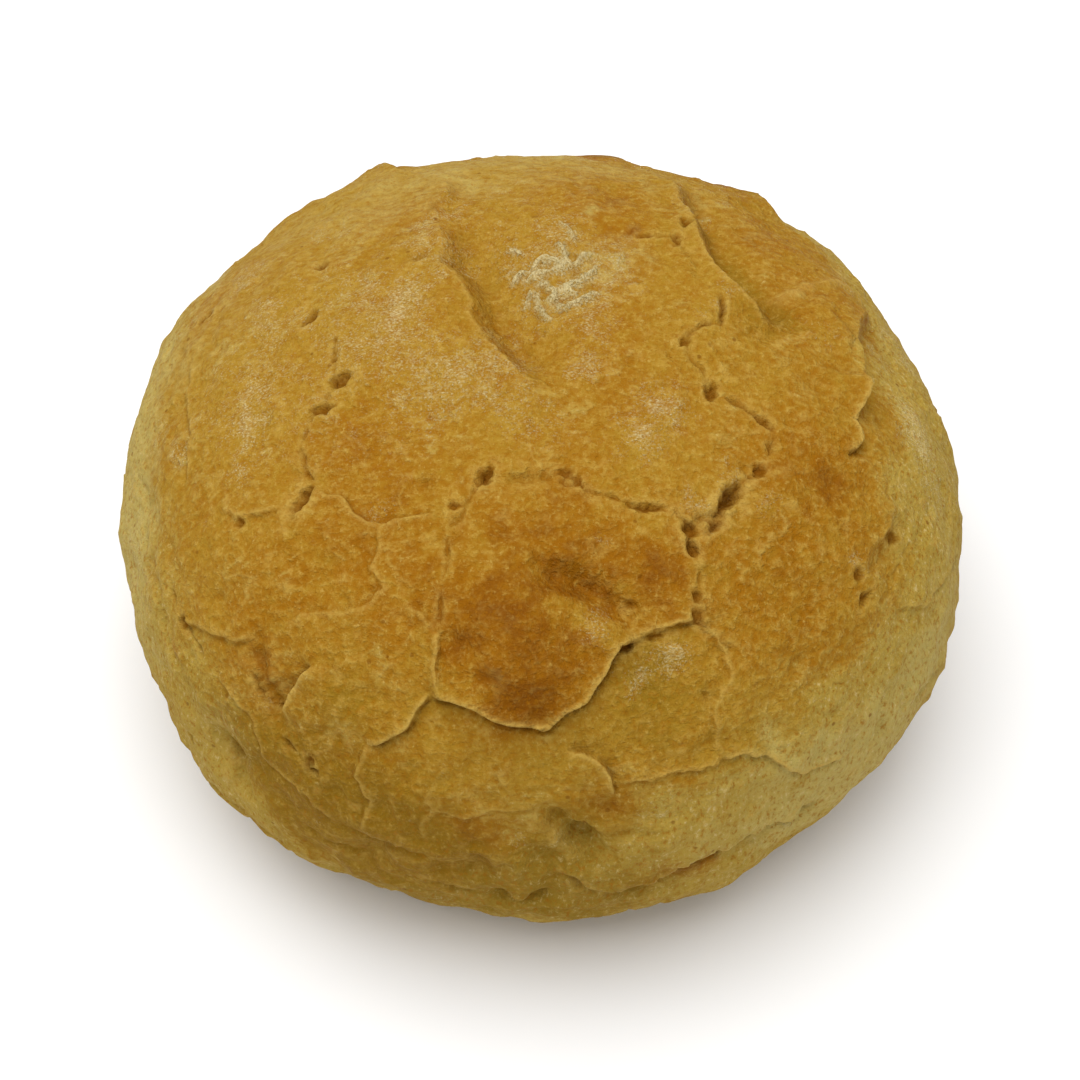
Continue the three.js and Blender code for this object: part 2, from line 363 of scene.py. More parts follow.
# Lines: style, strength, and the places they run through. Steps stand up on the left of the way.
LINES = (
    # crown: the floured swirl of pleats, with the gaps between them
    ("pleat", 1.3, ((-3.6, 8.2), (-3.2, 9.3), (-2.2, 10.2), (-1.3, 10.5), (-0.4, 11.4), (0.5, 12.1),
                    (1.7, 11.8), (2.4, 11.5), (3.5, 10.9), (4.0, 10.4))),
    ("pleat", 1.1, ((-2.1, 8.0), (-1.6, 8.8), (-0.9, 9.4), (0, 9.8), (1, 10.1), (1.9, 10.5), (2.9, 10.1),
                    (3.8, 9.9))),
    ("pleat", 1.2, ((1.8, 15.3), (2.3, 14.4), (2.8, 13), (3.3, 12), (3.8, 11.2))),
    ("pleat", 0.8, ((2, 19.3), (2.5, 18.5), (3.5, 17.5), (4, 15.3), (3.8, 14.2))),
    ("pleat", 1.2, ((4, 10.5), (4.7, 11.5), (5.2, 12.3), (6, 13))),
    ("pleat", 1.2, ((2.4, 7.5), (3.4, 7.7), (4.5, 8.3), (5.3, 9), (6, 9.7), (6.6, 10.5), (7.1, 11))),
    ("pleat", 1.0, ((2.1, 8), (2.4, 7.3), (3.4, 6.8), (4.4, 6.7), (4.8, 6.9))),
    ("pleat", 1.2, ((0.4, 7), (0.8, 7.3), (1.7, 7), (1.4, 5.8), (0.8, 4.8))),
    ("pleat", 1.2, ((1.4, 3.4), (2, 3.7), (2.9, 4.2), (3.7, 4.7), (4.8, 5), (5.6, 5.5), (6.5, 6),
                    (7.3, 6.2))),
    ("pleat", 1.1, ((-0.5, 7.3), (-0.3, 6), (-0.2, 4.6), (0.2, 3.4), (0.8, 2.4), (1.7, 1.7))),
    ("pleat", 1.0, ((-1, 7.5), (-1.2, 6.5), (-1.7, 5.1), (-2, 3.9))),
    ("pleat", 1.0, ((-1, 7.5), (-0.3, 8), (0.5, 8.4), (1.4, 8.5))),
    ("pleat", 1.0, ((-3.8, 15), (-3.5, 14.3), (-2.8, 13.7), (-1.7, 13.6))),
    ("pleat", 0.5, ((9.9, 13.7), (9.7, 12.6), (9.4, 11.5), (9.8, 10.2))),
    ("pleat", 0.5, ((-5.5, 10.2), (-4.4, 10.6), (-3.3, 11.3), (-2.4, 11.7))),
    ("gap", 1.0, ((2.1, 8.4), (3.1, 8.9), (4, 9.5), (4.8, 10.4), (5.3, 11.1))),
    ("gap", 1.0, ((1.5, 4.6), (2, 5.4), (3.1, 6.1), (4.1, 6.2), (5.1, 7), (6.2, 7.6), (6.9, 8.3))),
    ("gap", 1.2, ((4.1, 13.2), (4.2, 12.3), (4.1, 11.2))),
    ("gap", 0.8, ((-0.8, 6.3), (-0.7, 4.2), (-0.1, 2.7), (0.8, 1.5))),
    ("gap", 0.8, ((0.2, 8), (0.2, 6.8), (0.2, 5.3), (0.5, 4.8))),
    ("hairline", 0.6, ((1, 1.4), (0.4, 0), (0.9, -1.4))),
    # the terraces beside the crown, with a trough below each
    ("slope", 1.6, ((-1.4, -10.4), (-2.8, -7.4), (-4.1, -5.5), (-5.5, -3.5), (-6.3, -1.9), (-8, 1),
                    (-8.5, 2.2), (-8.2, 4.3), (-8.7, 5.7), (-9.5, 7.2), (-10, 8.4), (-11.1, 9.3),
                    (-12, 10.9), (-12, 13.6), (-12.6, 17.9), (-13.1, 20.5))),
    ("terrace", 0.7, ((-13.1, 20.5), (-13.4, 24), (-12.2, 25.8), (-12.1, 29.5), (-10.8, 32.6))),
    ("valley", 0.9, ((0, -9), (-2, -4.6), (-3.4, -1), (-4.8, 3.5), (-6.6, 8), (-8.2, 13), (-9.6, 18))),
    ("hairline", 1.0, ((-9.5, 7.2), (-10.6, 9), (-12, 10.9), (-12.3, 13.2))),
    ("tear", 0.55, ((-13.3, 22.2), (-13.5, 23.6), (-12.9, 25.2))),
    ("tear", 0.7, ((-16.4, 12.3), (-14.9, 12.7), (-13.2, 13.3))),
    ("slope", 2.0, ((28.4, 2.6), (25.2, 6.1), (21.4, 10.9), (19.7, 15.9), (18.8, 21), (17.6, 26.3),
                    (16.7, 32.8))),
    ("valley", 0.5, ((31, 3), (28.2, 7.5), (25.4, 11.5), (23.6, 16), (22.3, 22), (21, 29))),
    ("ridge", 0.8, ((28.9, 8.6), (31.9, 11.3), (35.6, 14.4), (40.2, 16.9), (44, 16.4))),
    ("terrace", 0.75, ((-15.5, 33.8), (-19.4, 36.8), (-21.5, 40.5), (-23.5, 44.5))),
    ("terrace", 0.8, ((33, 32), (30.5, 37), (31, 42), (29, 46))),
    # east: the broken path of pits from the crown to the front
    ("hairline", 0.9, ((17.8, 19.5), (16.9, 16.6), (18.2, 12.5), (19.2, 11))),
    ("hairline", 0.8, ((12.5, 16.2), (14.8, 16.8), (16.7, 16.3))),
    ("split", 1.0, ((21.6, 5.7), (21.8, 4.4), (21.4, 2.7), (21.3, 1.6), (19.3, 1.2), (17.6, 0.2),
                    (17.2, -1.3))),
    ("hairline", 1.0, ((17.2, -1.3), (17.2, -2.7), (17.6, -4.4), (19.1, -5.3), (19.2, -7.7), (19.8, -8.4))),
    ("split", 0.8, ((19.8, -8.4), (21.5, -9.0), (25.5, -11.8), (26.4, -12.6), (27.1, -13.4))),
    ("split", 0.8, ((27.1, -13.4), (26.4, -16.0), (25.3, -18.3), (23.0, -20.8))),
    ("tear", 1.0, ((23.2, -20.3), (22.2, -21.8), (21.2, -23.2), (20.2, -24.8), (19, -25.1),
                   (18.2, -25.7), (17.2, -27.1))),
    ("split", 1.2, ((20.4, -24.2), (21.2, -24.9), (20.8, -25.8), (19.9, -26.4), (19, -27.3), (18, -27))),
    ("split", 1.2, ((17.1, -27.2), (16.9, -28.4), (17.3, -29.6), (17.7, -30.9))),
    ("hairline", 1.2, ((17.7, -30.7), (18.1, -32.4), (18, -34.1), (17.8, -35))),
    ("tear", 0.4, ((18.2, -34.3), (19, -35.7), (19.4, -36.8), (19.9, -38.3))),
    ("split", 0.6, ((17.7, -35), (17.3, -36.3), (18, -37.4), (19.9, -38.3))),
    ("hairline", 1.2, ((19.9, -38.3), (20.9, -39.1), (21.9, -40.1), (22.9, -40.6))),
    ("seam", 1.0, ((19.9, -38.3), (22.1, -41.5), (22.6, -43.4), (21.0, -46.9), (21.2, -49.2),
                   (22.0, -51.2), (23.0, -52.1))),
    ("hairline", 0.8, ((18.9, -45.2), (20.9, -47.0))),
    # east: the edge of the top panel over the side wall
    ("flap", 1.6, ((35.8, -13.5), (37.6, -12.2), (38.1, -10.9), (37.1, -9.3), (38, -7.1), (39.1, -3.8),
                   (39.2, -1.6))),
    ("terrace", 1.1, ((38, -7.1), (39.1, -3.8), (39.2, -1.6), (39.3, 2.4), (38.9, 4.8), (40.2, 9.4),
                      (43.4, 14.7))),
    ("split", 0.7, ((35.2, -1.6), (37.2, -2.0), (38.9, -1.3))),
    ("hairline", 0.9, ((37.2, 6.8), (38.1, 3.4), (37.4, 1.2))),
    ("terrace", 0.5, ((39, -29), (39.5, -25), (41, -23.5), (42.5, -20), (42, -17))),
    # west: pits and the crack that joins them
    ("hairline", 1.3, ((-24.7, 0.8), (-24.3, -1.1), (-24.4, -3.6), (-24.1, -6.4), (-25.0, -8.6),
                       (-25.3, -10.2))),
    ("split", 0.7, ((-25.3, -10.2), (-27.1, -11.8), (-27.8, -14.8), (-27.4, -17.9), (-26.2, -20.4))),
    ("tear", 0.8, ((-26.2, -20.2), (-27.5, -21.9), (-28.4, -23.4), (-28.7, -25.0))),
    ("flap", 0.7, ((-11.4, -25.9), (-15.6, -25.9), (-18.2, -26.4), (-21.1, -25.2), (-22.5, -22.8),
                   (-24.7, -22.1), (-26.2, -20.4))),
    ("seam", 0.9, ((-18.2, -26.4), (-18.2, -29.4), (-18.9, -31.4), (-17.9, -33.8), (-19.6, -35.8),
                   (-23.1, -35.9), (-26.0, -35.4), (-29.8, -35.9))),
    ("seam", 1.0, ((-38.4, -20.1), (-35.9, -22.0), (-31.6, -22.7), (-29.9, -22.3))),
    ("seam", 0.9, ((-45, 4.1), (-45.1, -1.8), (-43.5, -8), (-44.5, -15))),
    # front: the top of the central panel
    ("tear", 0.6, ((-6.1, -20.4), (-7, -22))),
    ("tear", 0.5, ((-3.9, -21.6), (-2, -21.5), (0.2, -20.9), (1.7, -21.5))),
    ("split", 0.7, ((1.7, -21.5), (3.2, -22.4), (5, -22.8), (6.7, -23.5), (8.8, -24.0), (10.3, -24.7),
                    (12.7, -24.9), (14.0, -24.3), (16.3, -25.9), (17.1, -27.2))),
    ("hairline", 1.0, ((-3.9, -21.6), (-7, -22), (-8, -24.3), (-9, -26.5), (-10, -27.3), (-10.4, -28.8),
                       (-10.5, -31.5), (-10.9, -35), (-11.5, -39.2))),
    ("furrow", 1.25, ((-1.5, -31.8), (0.6, -32.8), (4, -34), (6.8, -35.7), (9.6, -37.5), (11.5, -38.2))),
    # front: the lip that hangs over the surface below it
    ("lip", 1.0, ((-12.8, -46), (-10.2, -46.3), (-7.8, -47), (-4.7, -48.6), (-3, -49), (-1, -49.2),
                  (0.5, -49.8), (1.5, -48.8), (2.6, -47.9), (4.8, -46.8), (5.8, -45.4), (6.8, -44),
                  (7.8, -42), (8.9, -40.6), (10.6, -39.5))),
    ("flap", 1.0, ((8.9, -40.8), (12.1, -39), (13.6, -38.4), (17.3, -37.3), (19.9, -38.5))),
    ("flap", 1.1, ((-21.3, -51.3), (-18.9, -50.6), (-16.2, -49.4), (-14.8, -47.5), (-12.8, -46))),
    ("flap", 0.9, ((-11.6, -45.9), (-12.1, -43.9), (-11.8, -41.8), (-11.5, -39.2))),
    ("flap", 0.5, ((-11.5, -39.2), (-14.1, -36.9), (-15.7, -35.9))),
    # south-west
    ("crease", 1.3, ((-34.3, -36.2), (-34.5, -38.9), (-34.6, -41.7), (-34.2, -45.8), (-34.2, -49.1))),
    ("split", 1.0, ((-34.2, -49.1), (-32.3, -51.5), (-30.8, -53.6), (-28, -56.5))),
    ("flap", 1.5, ((-26.6, -41.5), (-29.9, -43.7), (-31.6, -45.2), (-32.8, -46.8))),
    ("split", 1.0, ((-36.2, -39.5), (-35.9, -42.8), (-35.3, -44.7), (-32.8, -46.8))),
    ("split", 0.9, ((-49.0, -26.7), (-48.4, -29.1), (-47.4, -31.6), (-45.4, -34.2), (-44.4, -37.4))),
    ("seam", 1.0, ((-47.4, -31.6), (-43, -33.5), (-39, -35.8), (-34.4, -37))),
    ("seam", 1.0, ((-21.3, -51.3), (-24, -55), (-23, -59), (-26, -63))),
    ("crease", 1.2, ((-48.2, -49.2), (-49.5, -54.6), (-45, -59))),
    ("crease", 0.9, ((-55, -20), (-52, -26), (-53, -32), (-50, -38))),
    ("crease", 0.8, ((-57, -6), (-55, -12), (-56.5, -18))),
    ("seam", 0.8, ((-42, -40), (-38, -46), (-38.5, -52), (-33, -57), (-30, -62))),
    # lower front
    ("flap", 1.1, ((9.5, -58.6), (8.3, -56.3), (7.6, -55), (6.6, -54), (4.8, -53.3), (3, -52.8))),
    ("seam", 1.1, ((10, -56.6), (11.6, -56.2), (13.9, -55.8), (16.8, -54.9), (19.6, -54.5),
                   (21.9, -53.7), (23, -52.1))),
    ("seam", 1.7, ((22.4, -52.8), (26, -52), (30.1, -51.8), (33.5, -53.3), (36.6, -54), (39.5, -53.3),
                   (42.1, -52.3), (45, -50.5))),
    ("furrow", 1.3, ((-0.3, -60), (1.7, -61.7), (2.9, -63.2), (5.3, -65.9), (7.4, -68.2), (8.8, -70))),
    ("ridge", 0.7, ((-1.4, -61), (0.1, -63.2), (2.2, -66.2), (3.9, -68.1), (6.2, -70))),
    ("crease", 1.5, ((-10.4, -67.5), (-9.7, -68.7), (-8.6, -70.6), (-7.5, -73))),
    ("crease", 1.3, ((-19, -73.5), (-16.9, -75.1), (-13.9, -77.3), (-9.8, -77.8))),
    ("fold", 0.5, ((-8.5, -78.9), (-6.8, -78.6), (-3.4, -78), (-1.2, -77.3), (1.5, -76.6))),
    ("fold", 0.45, ((1.2, -72.8), (3.9, -71.9), (5.7, -72.1), (7.8, -74.1), (13, -75.3))),
    ("crease", 1.0, ((-30, -62), (-25, -66), (-20, -67.5), (-15, -71))),
    ("crease", 0.9, ((-38, -62), (-33, -66), (-28, -70), (-25, -75))),
    ("crease", 0.8, ((9, -66), (13, -64), (17, -64.5))),
    ("seam", 0.7, ((-14.5, -60.5), (-10.5, -62), (-7, -60.5), (-3.4, -60.8), (-0.3, -60))),
    ("seam", 0.6, ((-12.6, -55.4), (-14.6, -58), (-14.5, -60.5), (-17, -63), (-16.5, -66))),
    ("seam", 0.6, ((-3.5, -53.5), (-5.2, -55.8), (-3.8, -58))),
    ("fold", 1.4, ((10.5, -75.8), (14.2, -75.2), (18.5, -72.4), (23.6, -69.6), (29, -67.7), (36.2, -64),
                   (44.2, -61.3), (48, -59.5))),
    # the sides and the back
    ("split", 0.8, ((-8, 44), (-5, 48), (-1, 51), (2, 56), (8, 58), (11, 62))),
    ("tear", 0.8, ((-20, 52), (-18, 56), (-13, 58), (-11, 62))),
    ("flap", 1.0, ((36, 44), (31, 49), (27, 51), (25, 57), (18, 61), (12, 62))),
    ("flap", 0.8, ((-24, 55), (-30, 52), (-35, 48), (-43, 46))),
    ("seam", 0.9, ((-11, 62), (-15, 67), (-14, 73), (-20, 77))),
    ("seam", 0.8, ((11, 62), (13, 68), (10, 74), (13, 80))),
    ("hairline", 1.0, ((-43, 46), (-50, 44), (-53, 38), (-60, 36))),
    ("fold", 0.9, ((-8, 82), (-18, 80), (-29, 75), (-37, 72), (-44, 66))),
    ("crease", 0.9, ((20, 80), (28, 76), (36, 70), (44, 66))),
    ("crease", 0.8, ((54, 40), (60, 34), (66, 30), (72, 28))),
    ("split", 0.8, ((56, 4), (60, 8), (62, 14), (67, 18))),
    ("tear", 0.6, ((58, -20), (62, -18), (65, -14))),
    ("seam", 0.9, ((46, -30), (52, -28), (58, -20), (57, -10), (56, 4))),
    ("crease", 0.9, ((60, -42), (66, -34), (71, -26), (74, -14))),
    ("split", 0.8, ((-58, 12), (-62, 8), (-63, 1), (-68, -4))),
    ("crease", 0.9, ((-66, 30), (-72, 20), (-74, 8), (-76, -6))),
    ("seam", 0.8, ((-56, -24), (-62, -26), (-64, -34), (-70, -36))),
    ("fold", 0.35, ((-46, -70), (-56, -63), (-63, -54), (-69, -44))),
)

# Pits: east, north, half length, half width, degrees from the east to the long way, depth.
PITS = (
    (-27.2, 14.6, 1.06, 0.65, 0, 0.57), (-27.8, 4.6, 1.38, 0.85, 50, 1.03),
    (-23.3, -6.6, 1.62, 1.04, 25, 1.26), (-25.3, -10.3, 1.25, 0.81, 0, 1.03),
    (-24.3, -3.5, 0.44, 0.39, 0, 0.4), (-24.2, 0, 0.5, 0.39, 60, 0.4),
    (-27.6, -22.2, 2.38, 0.78, 60, 0.92), (17.8, 20.1, 0.94, 0.65, 60, 0.69),
    (16.7, 16.3, 1, 0.65, 80, 0.57), (12.6, 16.4, 1.12, 0.45, 10, 0.46),
    (21.6, 4.4, 1.38, 0.59, 95, 0.92), (17.2, -1.3, 0.75, 0.65, 40, 0.8),
    (19.8, -8.4, 1.25, 0.78, 70, 1.03), (25.2, -18.7, 1.1, 0.8, 60, 0.9),
    (21.5, -22.7, 2.3, 0.95, 56, 1.5), (19.8, -26.0, 1.6, 0.7, 40, 0.5),
    (17.1, -27.1, 1.2, 1.0, 150, 1.4), (17.2, -29.4, 1.4, 0.7, 105, 0.8),
    (17.9, -35.0, 0.9, 0.6, 120, 0.8), (18.1, -37.2, 1.0, 0.7, 140, 0.55),
    (25.9, -12.2, 1.1, 0.8, 140, 1.1), (12.5, -24.8, 2.12, 0.65, 0, 0.52),
    (-9.6, -25, 0.69, 0.65, 0, 0.57), (-6.4, -21, 1.38, 0.78, 40, 0.92),
    (2.8, -20.8, 0.75, 0.65, 0, 0.57), (4.2, -22, 1, 0.52, 140, 0.46), (9.6, -40.9, 1.0, 0.75, 30, 1.0),
    (13.0, -39.7, 1.4, 0.4, 15, 0.35), (10.1, -36.2, 0.5, 0.45, 0, 0.46),
    (-47.2, -32, 1.12, 0.72, 115, 0.8), (-48.3, -50.6, 1.7, 1.1, 40, 0.7),
    (-30.6, -52.8, 0.88, 0.59, 120, 0.57), (-44.2, 13.7, 1.12, 0.65, 20, 0.46),
    (-35.8, -22.9, 0.75, 0.65, 0, 0.46), (38.4, -28.4, 0.75, 0.59, 0, 0.57),
    (39.8, -31, 1.12, 0.65, 60, 0.57), (43.5, -22, 1.38, 0.78, 30, 0.57), (62, 14, 1.5, 1.04, 60, 1.03),
    (59, 30, 1, 0.78, 0, 0.69), (-13, 58.5, 1.75, 1.04, 30, 1.15), (2, 56, 1.38, 0.91, 60, 1.03),
    (22, 68, 1.12, 0.78, 0, 0.8), (-36, 60, 1.25, 0.91, 45, 0.92), (-63, 1, 1.38, 0.91, 90, 1.03),
    (-60, 26, 1, 0.78, 0, 0.69), (60, -19, 1.25, 0.78, 20, 0.8), (-58, -46, 1, 0.78, 0, 0.69),
)

# Dents: east, north, reach, depth. A negative depth is a swelling.
DENTS = (
    (-2.5, -42.5, 6.5, -1.2), (36, 36, 3.5, 0.5), (24, 42, 3.2, 0.55), (0, 46, 2.6, 0.5),
    (-10, 46, 3.2, 0.8), (-21, 43, 2.5, -0.3), (-28, 39, 2.6, 0.5), (-37, 34, 3.0, -0.5),
    (-49, 25, 3.5, -0.4), (-56, 16, 4, 0.5), (-57, -63, 5, 1.4), (-42, -76, 5, 0.45), (-30, -84, 5, 0.4),
    (16, -87, 4, 0.9), (30, -84, 3, 0.4), (37, -79, 4, -0.5), (48, -71, 3.5, 0.9), (58, -62, 4, -0.6),
    (66, -50, 3.5, 0.4), (70, -29, 5, -0.8), (68, -20, 3, 0.4), (-48.1, -50.2, 2.7, 1.9),
    (-32.4, -43.6, 2.2, 0.7), (6.8, -67, 2.1, 1.2), (0.9, -69.4, 2.0, 1.5), (2.2, -74, 1.6, 1.0),
    (-10, -72, 1.8, 1.2), (-7.1, -78.2, 1.9, 1.7), (-0.2, -77.5, 1.9, 1.7), (28.9, -68.6, 1.6, 0.7),
    (24.7, -70.2, 1.6, 0.7), (15, -76, 1.9, 1.1), (19, -75.2, 1.7, 0.7), (22.5, -73.3, 1.7, 0.7),
    (33.5, -68.2, 1.7, 0.7), (37.5, -66.2, 1.7, 0.7), (8.5, -60.3, 2.0, 0.6), (32, -74, 4, -0.3),
    (24, -78, 4, -0.6), (-13, -62, 2.5, 0.8), (-22, -60, 2.2, 0.9), (-15, -72, 2.5, 0.8),
    (-4, -64, 2.2, 0.7), (-27, -68, 2.6, 0.9), (-52, -16, 2.4, 0.5), (4, -78.5, 1.6, -0.8),
    (-3.5, -80, 1.6, -0.8), (-55, -22, 2.0, 0.4), (31, -58, 2.5, 0.4), (-38, -58, 2.0, 0.4),
    (52, -39, 1.4, 0.3), (24, 74, 3.0, 0.6), (-30, 66, 3.0, 0.6), (66, 6, 3.0, 0.5), (-67, 16, 3.0, 0.6),
    (4, 68, 3.0, 0.5), (-8.5, -41, 1.6, 0.3), (-25, -30, 2.4, 0.35), (33, -20, 2.4, 0.3),
    (-19, 5, 2.4, 0.35), (10, 25, 2.6, 0.4), (-20, 26, 2.8, 0.4), (31, 27, 2.6, 0.4), (9, -12, 2.6, 0.35),
)

# Flour: east, north, reach, strength.
FLOUR = (
    (2, 8, 5, 0.35), (4, 6, 5, 0.2), (-25, 6, 14, 0.22), (-4, 24, 12, 0.2), (-38, -6, 12, 0.2),
    (-18, -14, 12, 0.15), (18, 4, 10, 0.1), (5, 11, 4, 0.2), (3, 17, 3, 0.4), (-3, 14, 3, 0.3),
    (6, 2, 4, 0.3), (0, 3, 3, 0.2), (9, 13, 3, 0.3), (10, 8, 3, 0.2), (-15, -3, 5, 0.3),
    (-9, -7, 4.5, 0.32), (-5, -9.5, 4, 0.30), (-12, -10, 4, 0.25), (-2, -13, 3.2, 0.32),
    (2, -15.5, 3.2, 0.27), (-17, 3.5, 4, 0.3), (-21.5, 8, 3.5, 0.35), (-20, -1, 4, 0.25),
    (14, -11.5, 3.3, 0.7), (11, -16.5, 2.6, 0.85), (6, -5, 3.5, 0.3), (-4, -1, 2.6, 0.3),
    (23, 12.5, 2, 0.4), (25.5, 10, 2.2, 0.3), (-38, 18, 2.8, 0.5), (-34.5, 8.5, 2.4, 0.5),
    (-33, 4, 2.4, 0.4), (-34.5, -5, 1.8, 0.6), (-34.8, -9, 1.8, 0.65), (-35, -12.5, 1.8, 0.6),
    (-36, -17, 1.6, 0.5), (45.5, 6, 2.4, 0.7), (48.5, -3, 3.0, 0.8), (49.5, -7, 3.0, 0.8),
    (52.3, -13, 3.0, 0.7), (48.5, 14, 2.6, 0.7), (50.5, 10, 2.4, 0.6), (26.4, -22.8, 1.8, 0.6),
    (15.6, -42, 1.9, 1.1), (11.2, -44.8, 1.4, 1.0), (6, -38.4, 2.0, 0.7), (20, 25, 3, 0.4),
    (-27, 22, 3.5, 0.3), (34, 4, 3, 0.25), (-6, 56, 7, 0.6), (4, 62, 5, 0.5), (30, 58, 5, 0.5),
    (-44, 40, 6, 0.5), (-60, -16, 5, 0.5), (62, -6, 6, 0.5), (60, 24, 5, 0.6), (-62, 34, 5, 0.4),
)

# Brown patches: east, north, reach, strength. Negative is paler than the crust around it. The patches low on
# the front paint shade.
BROWNING_AND_SHADE = (
    (-4.3, -46.5, 3.5, 0.5), (-9, -42, 5, 0.35), (0, -47, 3.5, 0.6), (3, -44, 4, 0.25),
    (-5, -37, 10, 0.4), (3, -30, 10, 0.52), (3.5, -37.8, 2, -0.6), (7.5, -39.8, 1.6, -0.6),
    (-21, -67, 10, 0.1), (-27, -60, 7, 0.1), (10, -72, 7, 0.35), (22, -72, 7, 0.3), (-12, -73, 7, 0.1),
    (8.5, -60, 3, 0.7), (-7, -63, 2.5, 0.5), (-10.7, -64, 2, 0.5), (-40, -58, 6, 0.4), (26, -79, 7, 0.3),
    (12, -30, 8, 0.4), (30, -30, 12, 0.3), (33, -14, 8, 0.2), (-18, -38, 6, 0.35), (-35, -36, 5, 0.4),
    (-15, -18, 8, 0.25), (30, 22, 6, 0.4), (11, 18, 1.2, 0.7), (7, -7, 0.6, 1.0), (-20, -29, 6, 0.35),
    (28, -15, 8, 0.25), (8, 43, 4, 0.8), (25, 42, 4, 0.5), (-32, -61, 1.5, 0.5), (-49.5, -36, 1.5, 0.6),
    (-48, -56, 6, -0.4), (-30, 30, 10, -0.4), (-40, 0, 9, -0.4), (6, 30, 8, 0.1), (0, -60, 8, -0.35),
    (-14, -56, 6, -0.3), (25, -48, 8, -0.4), (-24, 8, 8, -0.2), (8, 62, 12, 0.5), (-40, 56, 8, 0.3),
    (58, 30, 9, 0.3), (62, -14, 8, -0.2), (72, 22, 8, 0.4), (60, 52, 7, 0.35), (38, 76, 9, 0.4),
    (-12, 84, 10, 0.4), (-46, 74, 8, 0.4), (-72, 38, 8, 0.35), (-82, -6, 7, 0.3), (16, 92, 9, 0.35),
    (82, -16, 7, 0.35), (90, 22, 8, 0.3), (-60, 62, 7, -0.3), (24, 66, 5, -0.4), (52, 62, 5, -0.3),
)

# Tones: east, north, reach, strength. Straw-coloured where positive; where negative, darker olive-brown,
# mostly painted shade of the lower front, dents and valley walls.
TONES = (
    (-10, 36, 14, 0.35), (8, 40, 12, 0.35), (-30, 28, 14, 0.35), (-42, 8, 10, 0.25), (24, 26, 10, 0.2),
    (-60, -10, 9, 0.7), (-64, -24, 8, 0.6), (-58, 8, 9, 0.6), (-54, 24, 9, 0.4), (-68, -8, 8, 0.6),
    (56, -46, 9, 0.7), (61, -33, 9, 0.7), (49, -56, 8, 0.7), (64, -16, 8, 0.5), (38, -60, 6, 0.35),
    (66, 6, 9, 0.4), (-35, -54, 9, -0.7), (-44, -46, 6, -0.5), (-25, -66, 12, -0.7), (-12, -75, 10, -0.6),
    (3, -76, 10, -0.55), (16, -76, 9, -0.45), (12, -43, 5, -0.5), (15, -48, 5, -0.35),
    (24, -28, 9, -0.25), (8, -60, 5, -0.3), (-28, -80, 12, -0.5), (24.5, 13, 3.5, -0.8),
    (20.8, 23, 3.5, -0.6), (28.5, 6, 3, -0.7), (27, 9, 3, -0.5), (23, 17.5, 3, -0.5), (9, 43, 4, -0.9),
    (25, 41, 4, -0.5), (34, 35, 3, -0.4), (-48, -50.4, 2.5, -0.6), (42, -66, 6, 0.5), (-22, -68, 7, -0.3),
    (-23, -46, 5, -0.5), (0, -69, 5, -0.3), (-22, -61, 5, -0.3), (31.4, -54.5, 4.5, 0.35),
    (27, -61.5, 5, 0.3), (26.5, 2.5, 4, -0.4), (9, 12, 7, 0.25), (30, -50.6, 2.2, 0.5),
    (36, -52.3, 2.5, 0.6), (41, -50.8, 2.5, 0.6), (20, 76, 12, -0.3), (-24, 78, 10, 0.3), (4, 66, 9, 0.3),
    (50, 56, 10, 0.3), (-52, 58, 9, -0.3), (76, 4, 6, 0.3), (70, 40, 6, -0.3), (28, 84, 7, 0.35),
    (-70, 50, 6, 0.35), (-4, 92, 7, -0.35),
)

# Across a line: places and widths of what stands beside it, as shares of its width for a groove and
# in millimetres for a step, whose edge is at 0.
TRENCH_WALL = (0.55, 1.25)  # a trench's wall falls between these
GROOVE_RIM = 1.6
GROOVE_LIP = 1.8
STEP_RIM = (0.15, 0.35)
STEP_LIP = (0.12, 0.26)
STEP_SLIDE = 1.2  # how far behind the edge the overhang still pulls the crust along

# A pit: the power that gives it pointed ends, and where its wall falls, as shares of its half width.
PIT_POWER = 1.4
PIT_WALL = (0.6, 1.05)
PIT_FILL = 0.8  # share of its depth that is left open

# Where the pale side wall starts: degrees from the east, skin length from the crown.
FLANK_STARTS = (
    (0, 40), (30, 44), (90, 54), (150, 52), (180, 49), (205, 52), (228, 60), (240, 74), (258, 78),
    (270, 66), (285, 58), (300, 54), (320, 50), (345, 42), (360, 40),
)
FLANK_EASE = (-5, 11)  # it comes in over this stretch of skin about its start
FOOT_SHADE = 0.45  # painted shade: extra brown near the table and under the foot
DENT_SHADE = 0.2  # painted shade: extra brown in a dent

# Relief all over: size of the unevenness, height, and whether the rougher lower side has more of it.
RELIEF = ((13, 0.42, False), (5.5, 0.36, True), (2.6, 0.17, True), (1.4, 0.10, False))
BLISTER_HEIGHT = 0.20
DIMPLE_DEPTH = 0.32


def drawn(places, curved, spacing=0.25):
    """A way through the places, as points about `spacing` apart: on each stretch, a blend of the
    straight line and the Catmull-Rom cubic, whose ends' slopes are half the neighbours' chords."""
    knots = np.array(places, float)
    knots = np.concatenate((2 * knots[:1] - knots[1:2], knots, 2 * knots[-1:] - knots[-2:-1]))
    curve = []
    for a, b, c, d in zip(knots, knots[1:], knots[2:], knots[3:]):
        count = max(2, math.ceil(np.linalg.norm(c - b) / spacing))
        t = (np.arange(count) / count)[:, None]
        cubic = 0.5 * (2 * b + (c - a) * t + (2 * a - 5 * b + 4 * c - d) * t**2
                       + (3 * b - a - 3 * c + d) * t**3)
        curve.append(curved * cubic + (1 - curved) * (b + (c - b) * t))
    curve.append(knots[-2][None])
    return np.concatenate(curve)


